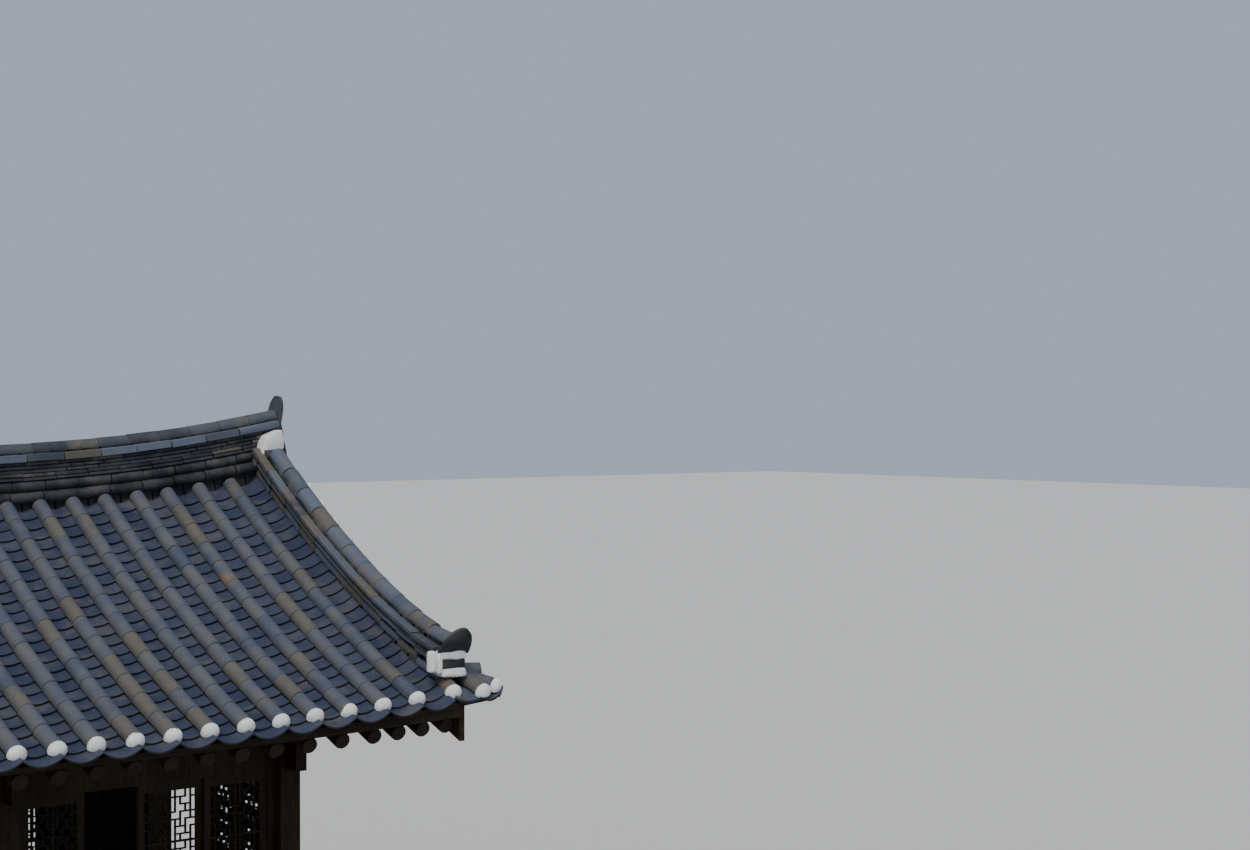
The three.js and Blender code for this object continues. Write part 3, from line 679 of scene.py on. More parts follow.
@dataclass
class TileField(RoofTrade):
    """The rows of cover tiles and pan tiles on both slopes, with the lime at the eaves."""

    rows: int = 14
    overlap: float = 0.004
    cut_slope: float = 1.17
    cut_reach: float = 0.08
    pan_depth: float = 0.124
    pan_step: float = 0.15
    pan_length: float = 0.225
    pan_width: float = 0.3
    pan_sag: float = 0.06
    pan_thick: float = 0.017
    lip_thick: float = 0.013
    pan_tilt: float = 6.3
    eave_reach: float = 0.075
    top: float = 3.22
    caps: int = 4
    outer_edge: float = 4.57
    spread: tuple[float, ...] = (0.03, 0.012)

    def build(self) -> None:
        """Builds both slopes."""
        for side, name in SLOPES:
            self.covers(side, name)
            self.pans(side, name)
            self.lime(side, name)

    def row_places(self) -> list[float]:
        """X of each row of cover tiles."""
        half = [n * JA for n in range(1, self.rows + 1)]
        for i, shift in enumerate(self.spread):
            half[-1 - i] += shift
        return [-x for x in reversed(half)] + [0.0] + half

    def covers(self, side: int, name: str) -> None:
        """Lays the cover tiles of one slope."""
        heap = Heap(11 + side)
        tile = cover_tile(COVER_RADIUS, JA + self.overlap)
        for x in self.row_places():
            sway = heap.random.uniform(-0.003, 0.003)
            for t in self.roof.walk(x, 0.0, JA, self.top):
                length = min(1.0, (self.top - t) * self.cut_slope / JA + self.cut_reach)
                place = self.roof.place(x + sway, t, side) @ Matrix.Translation((0, 0, -COVER_RADIUS))
                shrink = Matrix.Diagonal((1, length, 1, 1))
                heap.add(tile, place @ heap.jitter(0.0018, 0.5) @ shrink, heap.clay())
        self.shop.piece(f"{name}_cover_tiles", heap.bm, COVER, "tile")

    def pans(self, side: int, name: str) -> None:
        """Lays the pan tiles of one slope, each lip over the tile below it."""
        heap = Heap(23 + side)
        tile = pan_tile(self.pan_width, self.pan_length, self.pan_sag, self.pan_thick)
        lip = pan_tile(self.pan_width, self.pan_length, self.pan_sag, self.lip_thick)
        tilt = Matrix.Rotation(math.radians(-self.pan_tilt), 4, "X")
        down = Matrix.Translation((0, 0, -self.pan_depth))
        edges = [-self.outer_edge, *self.row_places(), self.outer_edge]
        for low, high in zip(edges, edges[1:]):
            x = (low + high) / 2
            for i, t in enumerate(self.roof.walk(x, -self.eave_reach, self.pan_step, self.top)):
                place = down @ self.roof.place(x, t, side) @ tilt @ heap.jitter(0.0018, 0.4)
                heap.add(tile if i else lip, place, heap.clay(0.0, 0.0))
        self.shop.piece(f"{name}_pan_tiles", heap.bm, PAN, "tile")

    def lime(self, side: int, name: str) -> None:
        """Closes the eave end of each cover row with lime."""
        heap = Heap(37 + side)
        shapes = [lime_cap(CAP_RADIUS, CAP_BULGE, seed) for seed in range(self.caps)]
        back = Matrix.Translation((0, CAP_BACK, -COVER_RADIUS - CAP_DROP))
        for x in self.row_places():
            shape = shapes[heap.random.randrange(self.caps)]
            heap.add(shape, self.roof.place(x, 0.0, side) @ back @ heap.jitter(0.002, 2.5))
        self.shop.piece(f"{name}_lime_caps", heap.bm, LIME, "plaster", sharp=60.0)


@dataclass
class BedWork(RoofTrade):
    """The mortar bed of each slope, with the fill under each row of cover tiles."""

    field: TileField
    half: float = 5.0
    reach: float = 3.385
    depth: float = 0.163
    thick: float = 0.027
    fill: Triple = (0.118, 0.31, 0.11)
    fill_start: float = 0.16
    fill_step: float = 0.3
    fill_short: float = 0.1
    fill_depth: float = 0.115

    def build(self) -> None:
        """Builds both beds."""
        strip = slab(*self.fill)
        down = Matrix.Translation((0, 0, -self.fill_depth))
        end = self.field.top - self.fill_short
        for side, name in SLOPES:
            heap = Heap(3)
            heap.add(self.bed(side), Matrix.Identity(4))
            for x in self.field.row_places():
                for t in self.roof.walk(x, self.fill_start, self.fill_step, end):
                    heap.add(strip, self.roof.place(x, t, side) @ down)
            # the bed's near black is mortar and painted shade
            self.shop.piece(f"{name}_mortar_bed", heap.bm, EARTH_AND_SHADE, "tile", stands_for=f"{name}_tile_bed")

    def bed(self, side: int) -> Shape:
        """Makes the curved bed of one slope."""
        bm = bmesh.new()
        bmesh.ops.create_grid(bm, x_segments=48, y_segments=20, size=0.5)
        for vert in bm.verts:
            x = 2 * self.half * vert.co.x
            y = self.reach * (0.5 - vert.co.y)
            vert.co = (x, side * y, self.roof.crown(x, self.roof.tile_end - y) - self.depth)
        thicken(bm, Vector((0, 0, -self.thick)))
        return bm


@dataclass(frozen=True)
class Course:
    """One course of a ridge: where it lies under the ridge's top, and its tiles, with a lightness that holds
    both its own tone and painted shade.
    """

    depth: float
    half: float
    height: float
    length: float
    light: float
    warm: float = 0.25
    rust: float = 0.03
    rounded: bool = False


@dataclass
class RidgeWork(RoofTrade):
    """The main ridge and the four descending ridges, laid course by course."""

    end_x: float = 4.8
    cover_radius: float = 0.074
    descent_x: float = 4.64
    section_height: float = 0.32
    descent_end: float = 0.1
    descent_top: float = 3.21
    rise_low: float = 0.283
    rise_curve: float = 0.03
    rise_middle: float = 1.5
    flare: float = 0.055
    flare_reach: float = 0.35
    cover_shift: float = 0.02
    course_end: float = 4.757
    tile_play: float = 0.003
    round_out: float = 0.02
    shortest: float = 0.3
    core: Triple = (0.2, 0.56, 0.36)
    end_tile: tuple[float, ...] = (0.12, 0.17, 0.25, 0.034, 0.016)
    end_tile_at: tuple[float, float] = (4.808, 5.7)
    end_tile_lean: float = 0.17
    descent_core: tuple[float, float] = (0.15, 0.24)
    core_step: float = 0.2
    core_top: float = 0.075
    core_root: float = 0.065
    # The rounded courses at the foot of the main ridge take a low lightness as painted shade
    main: tuple[Course, ...] = (
        Course(0.127, 0.165, 0.066, 0.34, 0.72, 0.3),
        Course(0.178, 0.135, 0.027, 0.3, 0.2, 0.12, 0.03),
        Course(0.211, 0.14, 0.027, 0.3, 0.08, 0.12, 0.03),
        Course(0.244, 0.133, 0.027, 0.3, 0.18, 0.15, 0.08),
        Course(0.277, 0.14, 0.027, 0.3, 0.06, 0.12, 0.03),
        Course(0.309, 0.135, 0.026, 0.3, 0.15, 0.15, 0.02),
        Course(0.375, 0.122, 0.1, JA, 0.06, 0.05, 0.0, True),
        Course(0.475, 0.142, 0.1, JA, 0.02, 0.02, 0.0, True),
    )
    # As on the main ridge, each lightness holds painted shade and light as well as the course's tone
    descent: tuple[Course, ...] = (
        Course(0.113, 0.155, 0.034, 0.34, 0.6, 0.3, 0.04),
        Course(0.15, 0.122, 0.024, 0.3, 0.6, 0.2, 0.03),
        Course(0.178, 0.118, 0.024, 0.3, 0.5, 0.25, 0.03),
        Course(0.207, 0.122, 0.026, 0.3, 0.7, 0.2, 0.05),
        Course(-0.01, 0.065, 0.15, JA, 1.1, 0.35, 0.03, True),
    )

    def build(self) -> None:
        """Builds all the ridges."""
        self.main_ridge()
        for corner in CORNERS:
            self.descending(*corner)

    def main_place(self, x: float, y: float, depth: float) -> Matrix:
        """Frame on the main ridge: Y along the ridge, towards +X."""
        top = self.roof.ridge_top + self.roof.ridge_lift * abs(x) ** 3
        rise = 3 * self.roof.ridge_lift * x * abs(x)
        along = Vector((1.0, 0.0, rise))
        return frame_at(Vector((x, y, top)), along, Vector((0, 0, 1))) @ Matrix.Translation((0, 0, -depth))

    def lay(self, heap: Heap, course: Course, places: list[tuple[Matrix, float, float]]) -> None:
        """Lays one course.

        Args:
            heap: what the tiles are added to.
            course: the course.
            places: the middle of each tile, and its length and height against the course's.
        """
        if course.rounded:
            shape = round_bar(course.height / 2, course.length, 0.004, 14)
            out = course.half - course.height / 2 + self.round_out
            offsets = (-out, out)
        else:
            shape = slab(course.half * 2, course.length - 0.001, course.height, 0.003)
            offsets = (0.0,)
        for place, stretch, tall in places:
            for offset in offsets:
                tint, warmth, blush = heap.clay(course.warm, course.rust)
                # the course's lightness, with its painted shade, sets how far the tile lies from near black
                # to light blue
                clay = (min(1.0, course.light * (0.5 + tint)), warmth, blush)
                spot = place @ Matrix.Translation((offset, 0, 0)) @ heap.jitter(0.0022, 0.5)
                heap.add(shape, spot @ Matrix.Diagonal((1, stretch, tall, 1)), clay)

    def main_ridge(self) -> None:
        """Builds the main ridge with its cover tiles, core and end tiles."""
        heap = Heap(5)
        for course in self.main:
            cuts = [-self.course_end, self.course_end]
            x = heap.random.uniform(0.35, 1.0) * course.length - self.course_end
            while x < self.course_end - course.length * self.shortest:
                cuts.insert(-1, x)
                x += course.length
            places = []
            for low, high in zip(cuts, cuts[1:]):
                place = self.main_place((low + high) / 2, 0, course.depth)
                places.append((place, (high - low) / course.length, 1.0))
            self.lay(heap, course, places)
        cover = cover_tile(self.cover_radius, JA + self.tile_play)
        count = round(2 * self.end_x / JA)
        for i in range(count):
            x = -self.end_x + i * 2 * self.end_x / count
            place = self.main_place(x, 0, self.cover_radius) @ heap.jitter(0.002, 0.5)
            tint, warmth, blush = heap.clay(0.3, 0.02)
            heap.add(cover, place, (0.15 + tint * 0.35, warmth * 0.8, blush))
        width, height, depth = self.core
        core = slab(width, self.end_x / count + 0.02, height)
        for i in range(count * 2):
            x = -self.end_x + (i + 0.5) * self.end_x / count
            heap.add(core, self.main_place(x, 0, depth), (0.0, 0.1, 0.0))
        tile = arch_tile(*self.end_tile)
        x, z = self.end_tile_at
        for turn in (-1, 1):
            face = Matrix.Rotation(turn * math.pi / 2, 4, "Z") @ Matrix.Rotation(self.end_tile_lean, 4, "X")
            heap.add(tile, Matrix.Translation((turn * x, 0, z)) @ face, (0.3, 0.1, 0.0))
        self.shop.piece("main_ridge_tiles", heap.bm, RIDGE_CLAY, "tile", stands_for="main_ridge")

    def descent_rise(self, t: float) -> float:
        """Height of a descending ridge's top over the crown line, which flares up towards both ends."""
        bow = self.rise_curve * (t - self.rise_middle) ** 2
        return self.rise_low + bow + self.flare * math.exp(-t / self.flare_reach)

    def descent_point(self, side_x: int, side: int, t: float) -> Vector:
        """Point of a descending ridge's top line."""
        return self.roof.point(side_x * self.descent_x, t, side) + Vector((0, 0, self.descent_rise(t)))

    def descent_place(self, side_x: int, side: int, t: float, depth: float) -> Matrix:
        """Frame on a descending ridge: Y up the slope, at a depth under the ridge's top."""
        at = self.descent_point(side_x, side, t)
        along = self.descent_point(side_x, side, t + self.roof.step) - at
        return frame_at(at, along, Vector((0, 0, 1))) @ Matrix.Translation((0, 0, -depth))

    def descending(self, side_x: int, side: int, name: str) -> None:
        """Builds one descending ridge."""
        heap = Heap(41 + side_x * 3 + side)
        x = side_x * self.descent_x
        for course in self.descent:
            places = []
            for t in self.roof.walk(x, self.descent_end + 0.02, course.length, self.descent_top - 0.12):
                middle = t + course.length * 0.44
                rise = self.descent_rise(middle)
                tall = 1.0 if course.rounded else rise / self.section_height
                depth = rise + course.depth if course.rounded else course.depth * tall
                places.append((self.descent_place(side_x, side, middle, depth), 1.03, tall))
            self.lay(heap, course, places)
        cover = cover_tile(self.cover_radius, JA + self.tile_play)
        aside = Matrix.Translation((self.cover_shift * side_x * -side, 0, 0))
        for t in self.roof.walk(x, self.descent_end - 0.03, JA, self.descent_top - 0.2):
            place = self.descent_place(side_x, side, t, self.cover_radius) @ aside @ heap.jitter(0.002, 0.6)
            tint, warmth, blush = heap.clay(0.35, 0.04)
            heap.add(cover, place, (0.5 + tint * 0.4, warmth, blush * 0.5))
        core = slab(*self.descent_core, 1.0)
        for t in self.roof.walk(x, self.descent_end + 0.14, self.core_step, self.descent_top):
            tall = self.descent_rise(t) + self.core_root
            place = self.descent_place(side_x, side, t, self.core_top + tall / 2)
            heap.add(core, place @ Matrix.Diagonal((1, 1, tall, 1)), (0.0, 0.2, 0.0))
        self.shop.piece(f"{name}_ridge_tiles", heap.bm, RIDGE_CLAY, "tile", stands_for=f"{name}_ridge")


@dataclass
class CornerWork(RoofTrade):
    """What closes the foot of each descending ridge, and the lime where it meets the main ridge."""

    middle: float = 4.655
    tile_length: float = 0.34
    pan: Triple = (0.3, 0.04, 0.024)
    end_form: tuple[float, ...] = (0.148, 0.25, 0.02, 0.028, 0.016)
    end_at: Triple = (0.005, 3.305, 3.752)
    end_lean: float = 0.64
    across: tuple[float, ...] = (0.25, 0.11, 0.075, 0.01)
    across_at: Triple = (-0.005, 3.268, 3.642)
    bands: tuple[tuple[float, ...], ...] = ((0.0, 3.717, 0.27, 0.085), (0.012, 3.568, 0.245, 0.075))
    band_y: float = 3.262
    band_deep: float = 0.13
    cheeks: tuple[tuple[float, ...], ...] = ((4.464, 3.67, 0.075, 0.175), (4.52, 3.655, 0.05, 0.17))
    cheek_y: float = 3.3
    cheek_deep: float = 0.075
    fill: tuple[float, ...] = (0.22, 0.08, 0.2, 0.01)
    fill_at: Triple = (0.0, 3.25, 3.64)
    last_bulge: float = 0.025
    saddle_y: float = 0.265
    saddle_deep: float = 0.145
    fan: tuple[tuple[float, ...], ...] = (
        (4.62, 0.0, -5.0, 0.5, 0.85, 0.35), (4.868, -0.072, 6.0, 0.3, 0.55, 0.0),
        (5.02, -0.03, 36.0, 0.1, 0.3, 0.0), (5.05, 0.225, 72.0, 0.0, 0.0, 0.0),
    )
    pans: tuple[tuple[float, ...], ...] = (
        (4.74, -0.1, -1.0, 0.26, 0.105), (4.95, -0.1, 12.0, 0.2, 0.125), (5.09, -0.02, 44.0, 0.15, 0.16)
    )
    saddle: tuple[tuple[float, float], ...] = (
        (4.545, 5.315), (4.562, 5.265), (4.62, 5.29), (4.68, 5.33), (4.78, 5.36), (4.79, 5.45),
        (4.755, 5.548), (4.675, 5.525), (4.597, 5.487), (4.565, 5.41),
    )

    def build(self) -> None:
        """Builds the four corners."""
        for corner in CORNERS:
            self.tiles(*corner)
            self.end_tile(*corner)
            self.plaster(*corner)

    def fanned(self, side_x: int, side: int, x: float, t: float, turn: float, depth: float) -> Matrix:
        """Place of a fanned tile, turned by some degrees away from the slope's fall."""
        place = self.roof.place(side_x * x, t, side) @ Matrix.Translation((0, 0, -depth))
        return place @ Matrix.Rotation(math.radians(turn * side_x * -side), 4, "Z")

    def at(self, side_x: int, side: int, x: float, y: float, z: float) -> Matrix:
        """Place of an upright shape at one corner."""
        return Matrix.Translation((side_x * x, side * y, z))

    def beside(self, side_x: int, side: int, shift: Triple) -> Matrix:
        """Place of an upright shape whose X is measured from the descending ridge's middle."""
        return self.at(side_x, side, self.middle + shift[0], *shift[1:])

    def tiles(self, side_x: int, side: int, name: str) -> None:
        """Lays the short fanned cover tiles, their pans and the tile in the lime under the end tile."""
        heap = Heap(71 + side_x * 3 + side)
        tile = cover_tile(COVER_RADIUS, self.tile_length)
        for x, t, turn, *clay in self.fan:
            heap.add(tile, self.fanned(side_x, side, x, t, turn, COVER_RADIUS), tuple(clay))
        for x, t, turn, width, depth in self.pans:
            pan = pan_tile(width, *self.pan)
            heap.add(pan, self.fanned(side_x, side, x, t, turn, depth), (0.0, 0.1, 0.0))
        self.shop.piece(f"{name}_corner_tiles", heap.bm, COVER, "tile")

    def end_tile(self, side_x: int, side: int, name: str) -> None:
        """Sets the dark arched tile that leans out over the eave."""
        heap = Heap(3)
        dark = (0.0, 0.0, 0.0)
        lean = Matrix.Rotation(0.0 if side < 0 else math.pi, 4, "Z") @ Matrix.Rotation(self.end_lean, 4, "X")
        heap.add(arch_tile(*self.end_form), self.beside(side_x, side, self.end_at) @ lean, dark)
        heap.add(slab(*self.across, 2), self.beside(side_x, side, self.across_at), dark)
        self.shop.piece(f"{name}_end_tile", heap.bm, RIDGE_CLAY, "tile")

    def plaster(self, side_x: int, side: int, name: str) -> None:
        """Lays the lime round the end tile, the caps of the fanned tiles and the saddle at the top."""
        heap = Heap(83 + side_x * 3 + side)
        for x, z, width, height in self.bands:
            band = lump((width, self.band_deep, height), 0.012, 4)
            heap.add(band, self.beside(side_x, side, (x, self.band_y, z)))
        for x, z, width, height in self.cheeks:
            cheek = lump((width, self.cheek_deep, height), 0.01, 7)
            heap.add(cheek, self.at(side_x, side, x, self.cheek_y, z))
        heap.add(slab(*self.fill), self.beside(side_x, side, self.fill_at))
        back = Matrix.Translation((0, CAP_BACK, 0))
        for i, (x, t, turn, *_) in enumerate(self.fan):
            bulge = CAP_BULGE if i < len(self.fan) - 1 else self.last_bulge
            place = self.fanned(side_x, side, x, t, turn, COVER_RADIUS + CAP_DROP)
            heap.add(lime_cap(CAP_RADIUS, bulge, i), place @ back)
        corners = [Vector((side_x * x, side * self.saddle_y, z)) for x, z in self.saddle]
        saddle = patch(corners, Vector((0, side * -self.saddle_deep, 0)), 0.02, 0.012, 9)
        heap.add(saddle, Matrix.Identity(4))
        self.shop.piece(f"{name}_corner_lime", heap.bm, LIME, "plaster", sharp=70.0)


@dataclass
class VergeWork(RoofTrade):
    """The tiles that lie crosswise along both gables, past the descending ridges."""

    inner: float = 4.72
    outer: float = 5.015
    start: float = 0.5
    end: float = 3.2
    pitch: float = 0.29
    radius: float = 0.06
    depth: float = 0.145

    def build(self) -> None:
        """Builds the four verges."""
        for corner in CORNERS:
            self.verge(*corner)

    def verge(self, side_x: int, side: int, name: str) -> None:
        """Lays the crosswise covers, their caps and the pans between them."""
        heap = Heap(101 + side_x * 3 + side)
        lime = Heap(5)
        length = self.outer - self.inner
        tile = cover_tile(self.radius, length)
        pan = pan_tile(self.pitch - 0.01, length + 0.02, 0.045, 0.018)
        cap = lime_cap(self.radius * 1.06, 0.04, 2)
        quarter = Matrix.Rotation(math.radians(90.0 * side_x * -side), 4, "Z")
        down = Matrix.Translation((0, 0, -self.depth))
        low = Matrix.Translation((0, 0, -self.depth + 0.003))
        half = self.pitch / 2
        for t in self.roof.walk(side_x * self.outer, self.start, self.pitch, self.end):
            place = self.roof.place(side_x * self.outer, t, side) @ down @ quarter
            heap.add(tile, place @ heap.jitter(0.003, 1.0), heap.clay(0.2, 0.02))
            lime.add(cap, place @ Matrix.Translation((0, 0.01, 0)))
            place = self.roof.place(side_x * self.outer, t - half * 0.9, side) @ low @ quarter
            heap.add(pan, place @ heap.jitter(0.002, 0.6), heap.clay(0.1, 0.0))
        self.shop.piece(f"{name}_verge_tiles", heap.bm, PAN, "tile")
        self.shop.piece(f"{name}_verge_lime", lime.bm, LIME, "plaster", sharp=60.0)


@dataclass
class EaveWork(RoofTrade):
    """Eave boards, the earth plugs between the rafters and the upper rafters."""

    half: float = 4.7
    board: tuple[float, float] = (3.276, 3.394)
    rafter_end: float = 3.27
    rafter_z: float = 3.067
    rafter_lift: float = 0.0006
    rafter_radius: float = 0.0668
    board_rise: float = 0.078
    bed_depth: float = 0.152
    purlin_y: float = 2.4
    ridge_z: float = 4.57
    knee: tuple[float, float] = (1.2, 3.895)
    tail: float = 0.12
    upper_radius: float = 0.052
    first_rafter: float = 0.378
    rafter_pitch: float = 0.296
    rafters: int = 13
    edge_pitch: float = 0.23
    edge_rafters: int = 3
    proud: float = 0.006
    plug_reach: float = 3.7
    plug_gap: float = 0.11
    plug: tuple[float, ...] = (0.07, 0.15, 0.012)
    plug_z: float = 3.405

    def build(self) -> None:
        """Builds both eaves."""
        for side, name in SLOPES:
            self.boards(side, name)
            self.plugs(side, name)
            self.long_rafters(side, name)
            self.upper_rafters(side, name)

    def end_height(self, x: float) -> float:
        """Height of a rafter's end, which rises towards the gables."""
        return self.rafter_z + self.rafter_lift * abs(x) ** 3

    def boards(self, side: int, name: str) -> None:
        """Builds the curved board under the tile ends."""
        bm = bmesh.new()
        bmesh.ops.create_grid(bm, x_segments=40, y_segments=1, size=0.5)
        inner, outer = self.board
        for vert in bm.verts:
            x = 2 * self.half * vert.co.x
            high = self.roof.crown(x, self.roof.tile_end - outer) - self.bed_depth
            z = high if vert.co.y > 0 else self.end_height(x) + self.board_rise
            vert.co = (x, side * outer, z)
        thicken(bm, Vector((0, side * (inner - outer), 0)))
        self.shop.piece(f"{name}_eave_board", bm, pine(Way.X), "wood")

    def rafter_places(self) -> list[float]:
        """X of each rafter."""
        half = [self.first_rafter + i * self.rafter_pitch for i in range(self.rafters)]
        half += [half[-1] + i * self.edge_pitch for i in range(1, self.edge_rafters + 1)]
        return [-x for x in reversed(half)] + [0.0] + half

    def long_rafters(self, side: int, name: str) -> None:
        """Lays the round rafters from the eave up to the middle purlin."""
        heap = Heap(15)
        template = round_bar(self.rafter_radius, 1.0, 0.004, 18)
        knee_y, knee_z = self.knee
        for x in self.rafter_places():
            slope = (knee_z - self.end_height(x)) / (self.rafter_end - knee_y)
            foot = self.end_height(x) - self.proud * slope
            low = Vector((x, side * (self.rafter_end + self.proud), foot))
            high = Vector((x, side * (knee_y - self.tail), knee_z + self.tail * slope))
            place = frame_at((low + high) / 2, high - low, Vector((0, 0, 1)))
            stretch = Matrix.Diagonal((1, (high - low).length, 1, 1))
            heap.add(template, place @ stretch, (heap.random.random(), 0.2, 0.0))
        self.shop.piece(f"{name}_long_rafters", heap.bm, pine(Way.Y), "dark_wood")

    def plugs(self, side: int, name: str) -> None:
        """Fills the gaps between the rafters above the eave purlin."""
        heap = Heap(7)
        places = self.rafter_places()
        for left, right in zip(places, places[1:]):
            if max(abs(left), abs(right)) > self.plug_reach:
                continue
            block = slab(right - left - self.plug_gap, *self.plug, 2)
            at = Matrix.Translation(((left + right) / 2, side * self.purlin_y, self.plug_z))
            heap.add(block, at, (heap.random.random(), 0.2, 0.0))
        self.shop.piece(f"{name}_rafter_plugs", heap.bm, PLASTER, "plaster")

    def upper_rafters(self, side: int, name: str) -> None:
        """Lays the short rafters from the middle purlin up to the ridge."""
        heap = Heap(9)
        low = Vector((0, side * self.knee[0], self.knee[1] - 0.002))
        high = Vector((0, side * 0.03, self.ridge_z - self.proud))
        bar = round_bar(self.upper_radius, (high - low).length, 0.0, 10)
        for x in self.rafter_places():
            middle = (low + high) / 2 + Vector((x, 0, 0))
            heap.add(bar, frame_at(middle, high - low, Vector((0, 0, 1))), (0.5, 0.2, 0.0))
        self.shop.piece(f"{name}_upper_rafters", heap.bm, pine(Way.Y), "dark_wood")


@dataclass
class LatticeWork(Trade):
    """The fine bars of every leaf, in a traditional stepped pattern."""

    columns: int = 10
    rows: int = 28
    bar: float = 0.011
    floor: float = 0.849
    play: float = 0.006
    gable_middle: float = -1.2
    layer: float = 0.022
    depth: float = 0.02
    stile: float = 0.058
    low_rail: float = 0.15
    top_rail: float = 0.075
    bay_half: float = 1.051
    head: float = 2.761
    gable_head: float = 2.701
    motif_across: tuple[str, ...] = (
        "1111111111",
        "0111001110",
        "1011001101",
        "1101111011",
        "1110110111",
        "0110000110",
        "1011111101",
    )
    motif_up: tuple[str, ...] = (
        "101101101",
        "110101011",
        "011011110",
        "101010101",
        "110101011",
        "101111101",
        "110101011",
    )

    def leaf(self, heap: Heap, low: tuple[float, float], high: tuple[float, float], place: Matrix) -> None:
        """Adds the bars of one leaf's opening.

        Args:
            heap: what the bars are added to.
            low: the opening's lowest corner, along the leaf and up.
            high: its highest corner.
            place: the leaf's frame, X along it and Z up.
        """
        width = (high[0] - low[0]) / self.columns
        height = (high[1] - low[1]) / self.rows
        for row in range(1, self.rows):
            marks = self.motif_across[row % len(self.motif_across)]
            for start, count in self.runs(marks[: self.columns]):
                at = (low[0] + (start + count / 2) * width, 0, low[1] + row * height)
                self.add_bar(heap, place @ Matrix.Translation(at), count * width, 0.0)
        for column in range(1, self.columns):
            marks = "".join(self.motif_up[row % len(self.motif_up)][column - 1] for row in range(self.rows))
            for start, count in self.runs(marks):
                at = (low[0] + column * width, 0, low[1] + (start + count / 2) * height)
                self.add_bar(heap, place @ Matrix.Translation(at), 0.0, count * height)

    def add_bar(self, heap: Heap, place: Matrix, across: float, up: float) -> None:
        """Adds a bar that runs some way across or up."""
        heap.add(slab(across + self.bar, self.depth, up + self.bar), place, (0.5, 0.5, 0.0))

    def runs(self, marks: str) -> list[tuple[int, int]]:
        """Gives the start and length of each run of ones."""
        return [(run.start(), len(run.group())) for run in re.finditer("1+", marks)]

    def row_of_leaves(self, node: str, panels: int, offsets: tuple[float, ...]) -> None:
        """Fills the leaves of one bay node.

        Args:
            node: the bay's node.
            panels: how many leaves stand side by side.
            offsets: the depth of each layer of lattice against the node's middle.
        """
        low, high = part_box(node)
        along_x = high.x - low.x > high.y - low.y
        start, end, bottom, top = low.y, high.y, low.z, high.z
        if node.endswith("_bay"):
            middle = (low.x + high.x) / 2 if along_x else self.gable_middle
            start, end = middle - self.bay_half, middle + self.bay_half
            bottom, top = self.floor, self.head if along_x else self.gable_head
        pitch = (end - start - self.stile) / panels
        centre = (low + high) / 2
        heap = Heap(13)
        for offset in offsets:
            if along_x:
                place = Matrix.Translation((0, centre.y + offset, 0))
            else:
                place = Matrix.Translation((centre.x + offset, 0, 0)) @ Matrix.Rotation(math.pi / 2, 4, "Z")
            for panel in range(panels):
                left = start + panel * pitch + self.stile
                right = left + pitch - self.stile
                self.leaf(heap, (left, bottom + self.low_rail), (right, top - self.top_rail), place)
        self.shop.piece(f"{node}_lattice", heap.bm, pine(Way.Z), "wood")

    def sliding_leaf(self, node: str, body: str) -> None:
        """Fills one sliding leaf."""
        low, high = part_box(node)
        heap = Heap(17)
        place = Matrix.Translation((0, (low.y + high.y) / 2, 0))
        corner = (low.x + self.stile, self.floor + self.play + self.low_rail)
        top = self.head - self.play - self.top_rail
        self.leaf(heap, corner, (high.x - self.stile, top), place)
        self.shop.piece(f"{node}_lattice", heap.bm, pine(Way.Z), "wood", body=body)

    def build(self) -> None:
        """Builds every leaf's lattice."""
        for bay in ("front_left", "front_middle", "back_left", "back_middle", "back_right"):
            self.row_of_leaves(f"{bay}_bay", 4, (0.0,))
        self.row_of_leaves("left_front_bay", 4, (0.0,))
        self.row_of_leaves("right_front_leaves", 2, (-self.layer, self.layer))
        for number, body in ((1, HOUSE), (2, "leaf_2"), (3, "leaf_3"), (4, HOUSE)):
            self.sliding_leaf(f"front_leaf_{number}", body)


@dataclass
class StoneWork(Trade):
    """The granite blocks that face the platform, and its coping."""

    half_x: float = 4.35
    half_y: float = 3.05
    top: float = 0.45
    coping: float = 0.13
    lip: float = 0.04
    proud: float = 0.012
    joint: float = 0.006
    facing: float = 0.1
    coping_deep: float = 0.42
    coping_rise: float = 0.006
    facing_lengths: tuple[float, float] = (0.45, 0.95)
    coping_lengths: tuple[float, float] = (0.9, 1.5)

    def build(self) -> None:
        """Builds the facing and the coping."""
        heap = Heap(201)
        lower = self.top - self.coping
        for turn in range(4):
            long = turn % 2 == 0
            reach = self.half_x if long else self.half_y
            out = self.half_y if long else self.half_x
            spin = Matrix.Rotation(turn * math.pi / 2, 4, "Z")
            centre = out - self.facing / 2 + self.proud
            self.line(heap, spin, reach + self.proud, centre, self.facing, (0.0, lower), self.facing_lengths)
            reach += self.lip + self.proud
            centre = out + self.lip - self.coping_deep / 2 + self.proud
            heights = (lower, self.top + self.coping_rise)
            self.line(heap, spin, reach, centre, self.coping_deep, heights, self.coping_lengths)
        self.shop.piece("platform_stones", heap.bm, GRANITE, "stone")

    def line(
        self, heap: Heap, spin: Matrix, reach: float, out: float, deep: float,
        heights: tuple[float, float], lengths: tuple[float, float],
    ) -> None:
        """Lays one line of blocks along a side of the platform.

        Args:
            heap: what the blocks are added to.
            spin: the turn to the side, which faces -Y unturned.
            reach: half the line's length.
            out: how far out the blocks' middle lies.
            deep: the blocks' depth.
            heights: their bottom and top.
            lengths: the shortest and the longest block.
        """
        low, high = heights
        x = -reach
        while x < reach - 0.01:
            length = heap.random.uniform(*lengths)
            if reach - x - length < lengths[0]:
                length = reach - x
            block = slab(length - self.joint, deep, high - low - self.joint, 0.01, 2)
            at = Matrix.Translation((x + length / 2, -out, (low + high) / 2))
            heap.add(block, spin @ at @ heap.jitter(0.0012, 0.05), (heap.random.random(), 0.0, 0.0))
            x += length


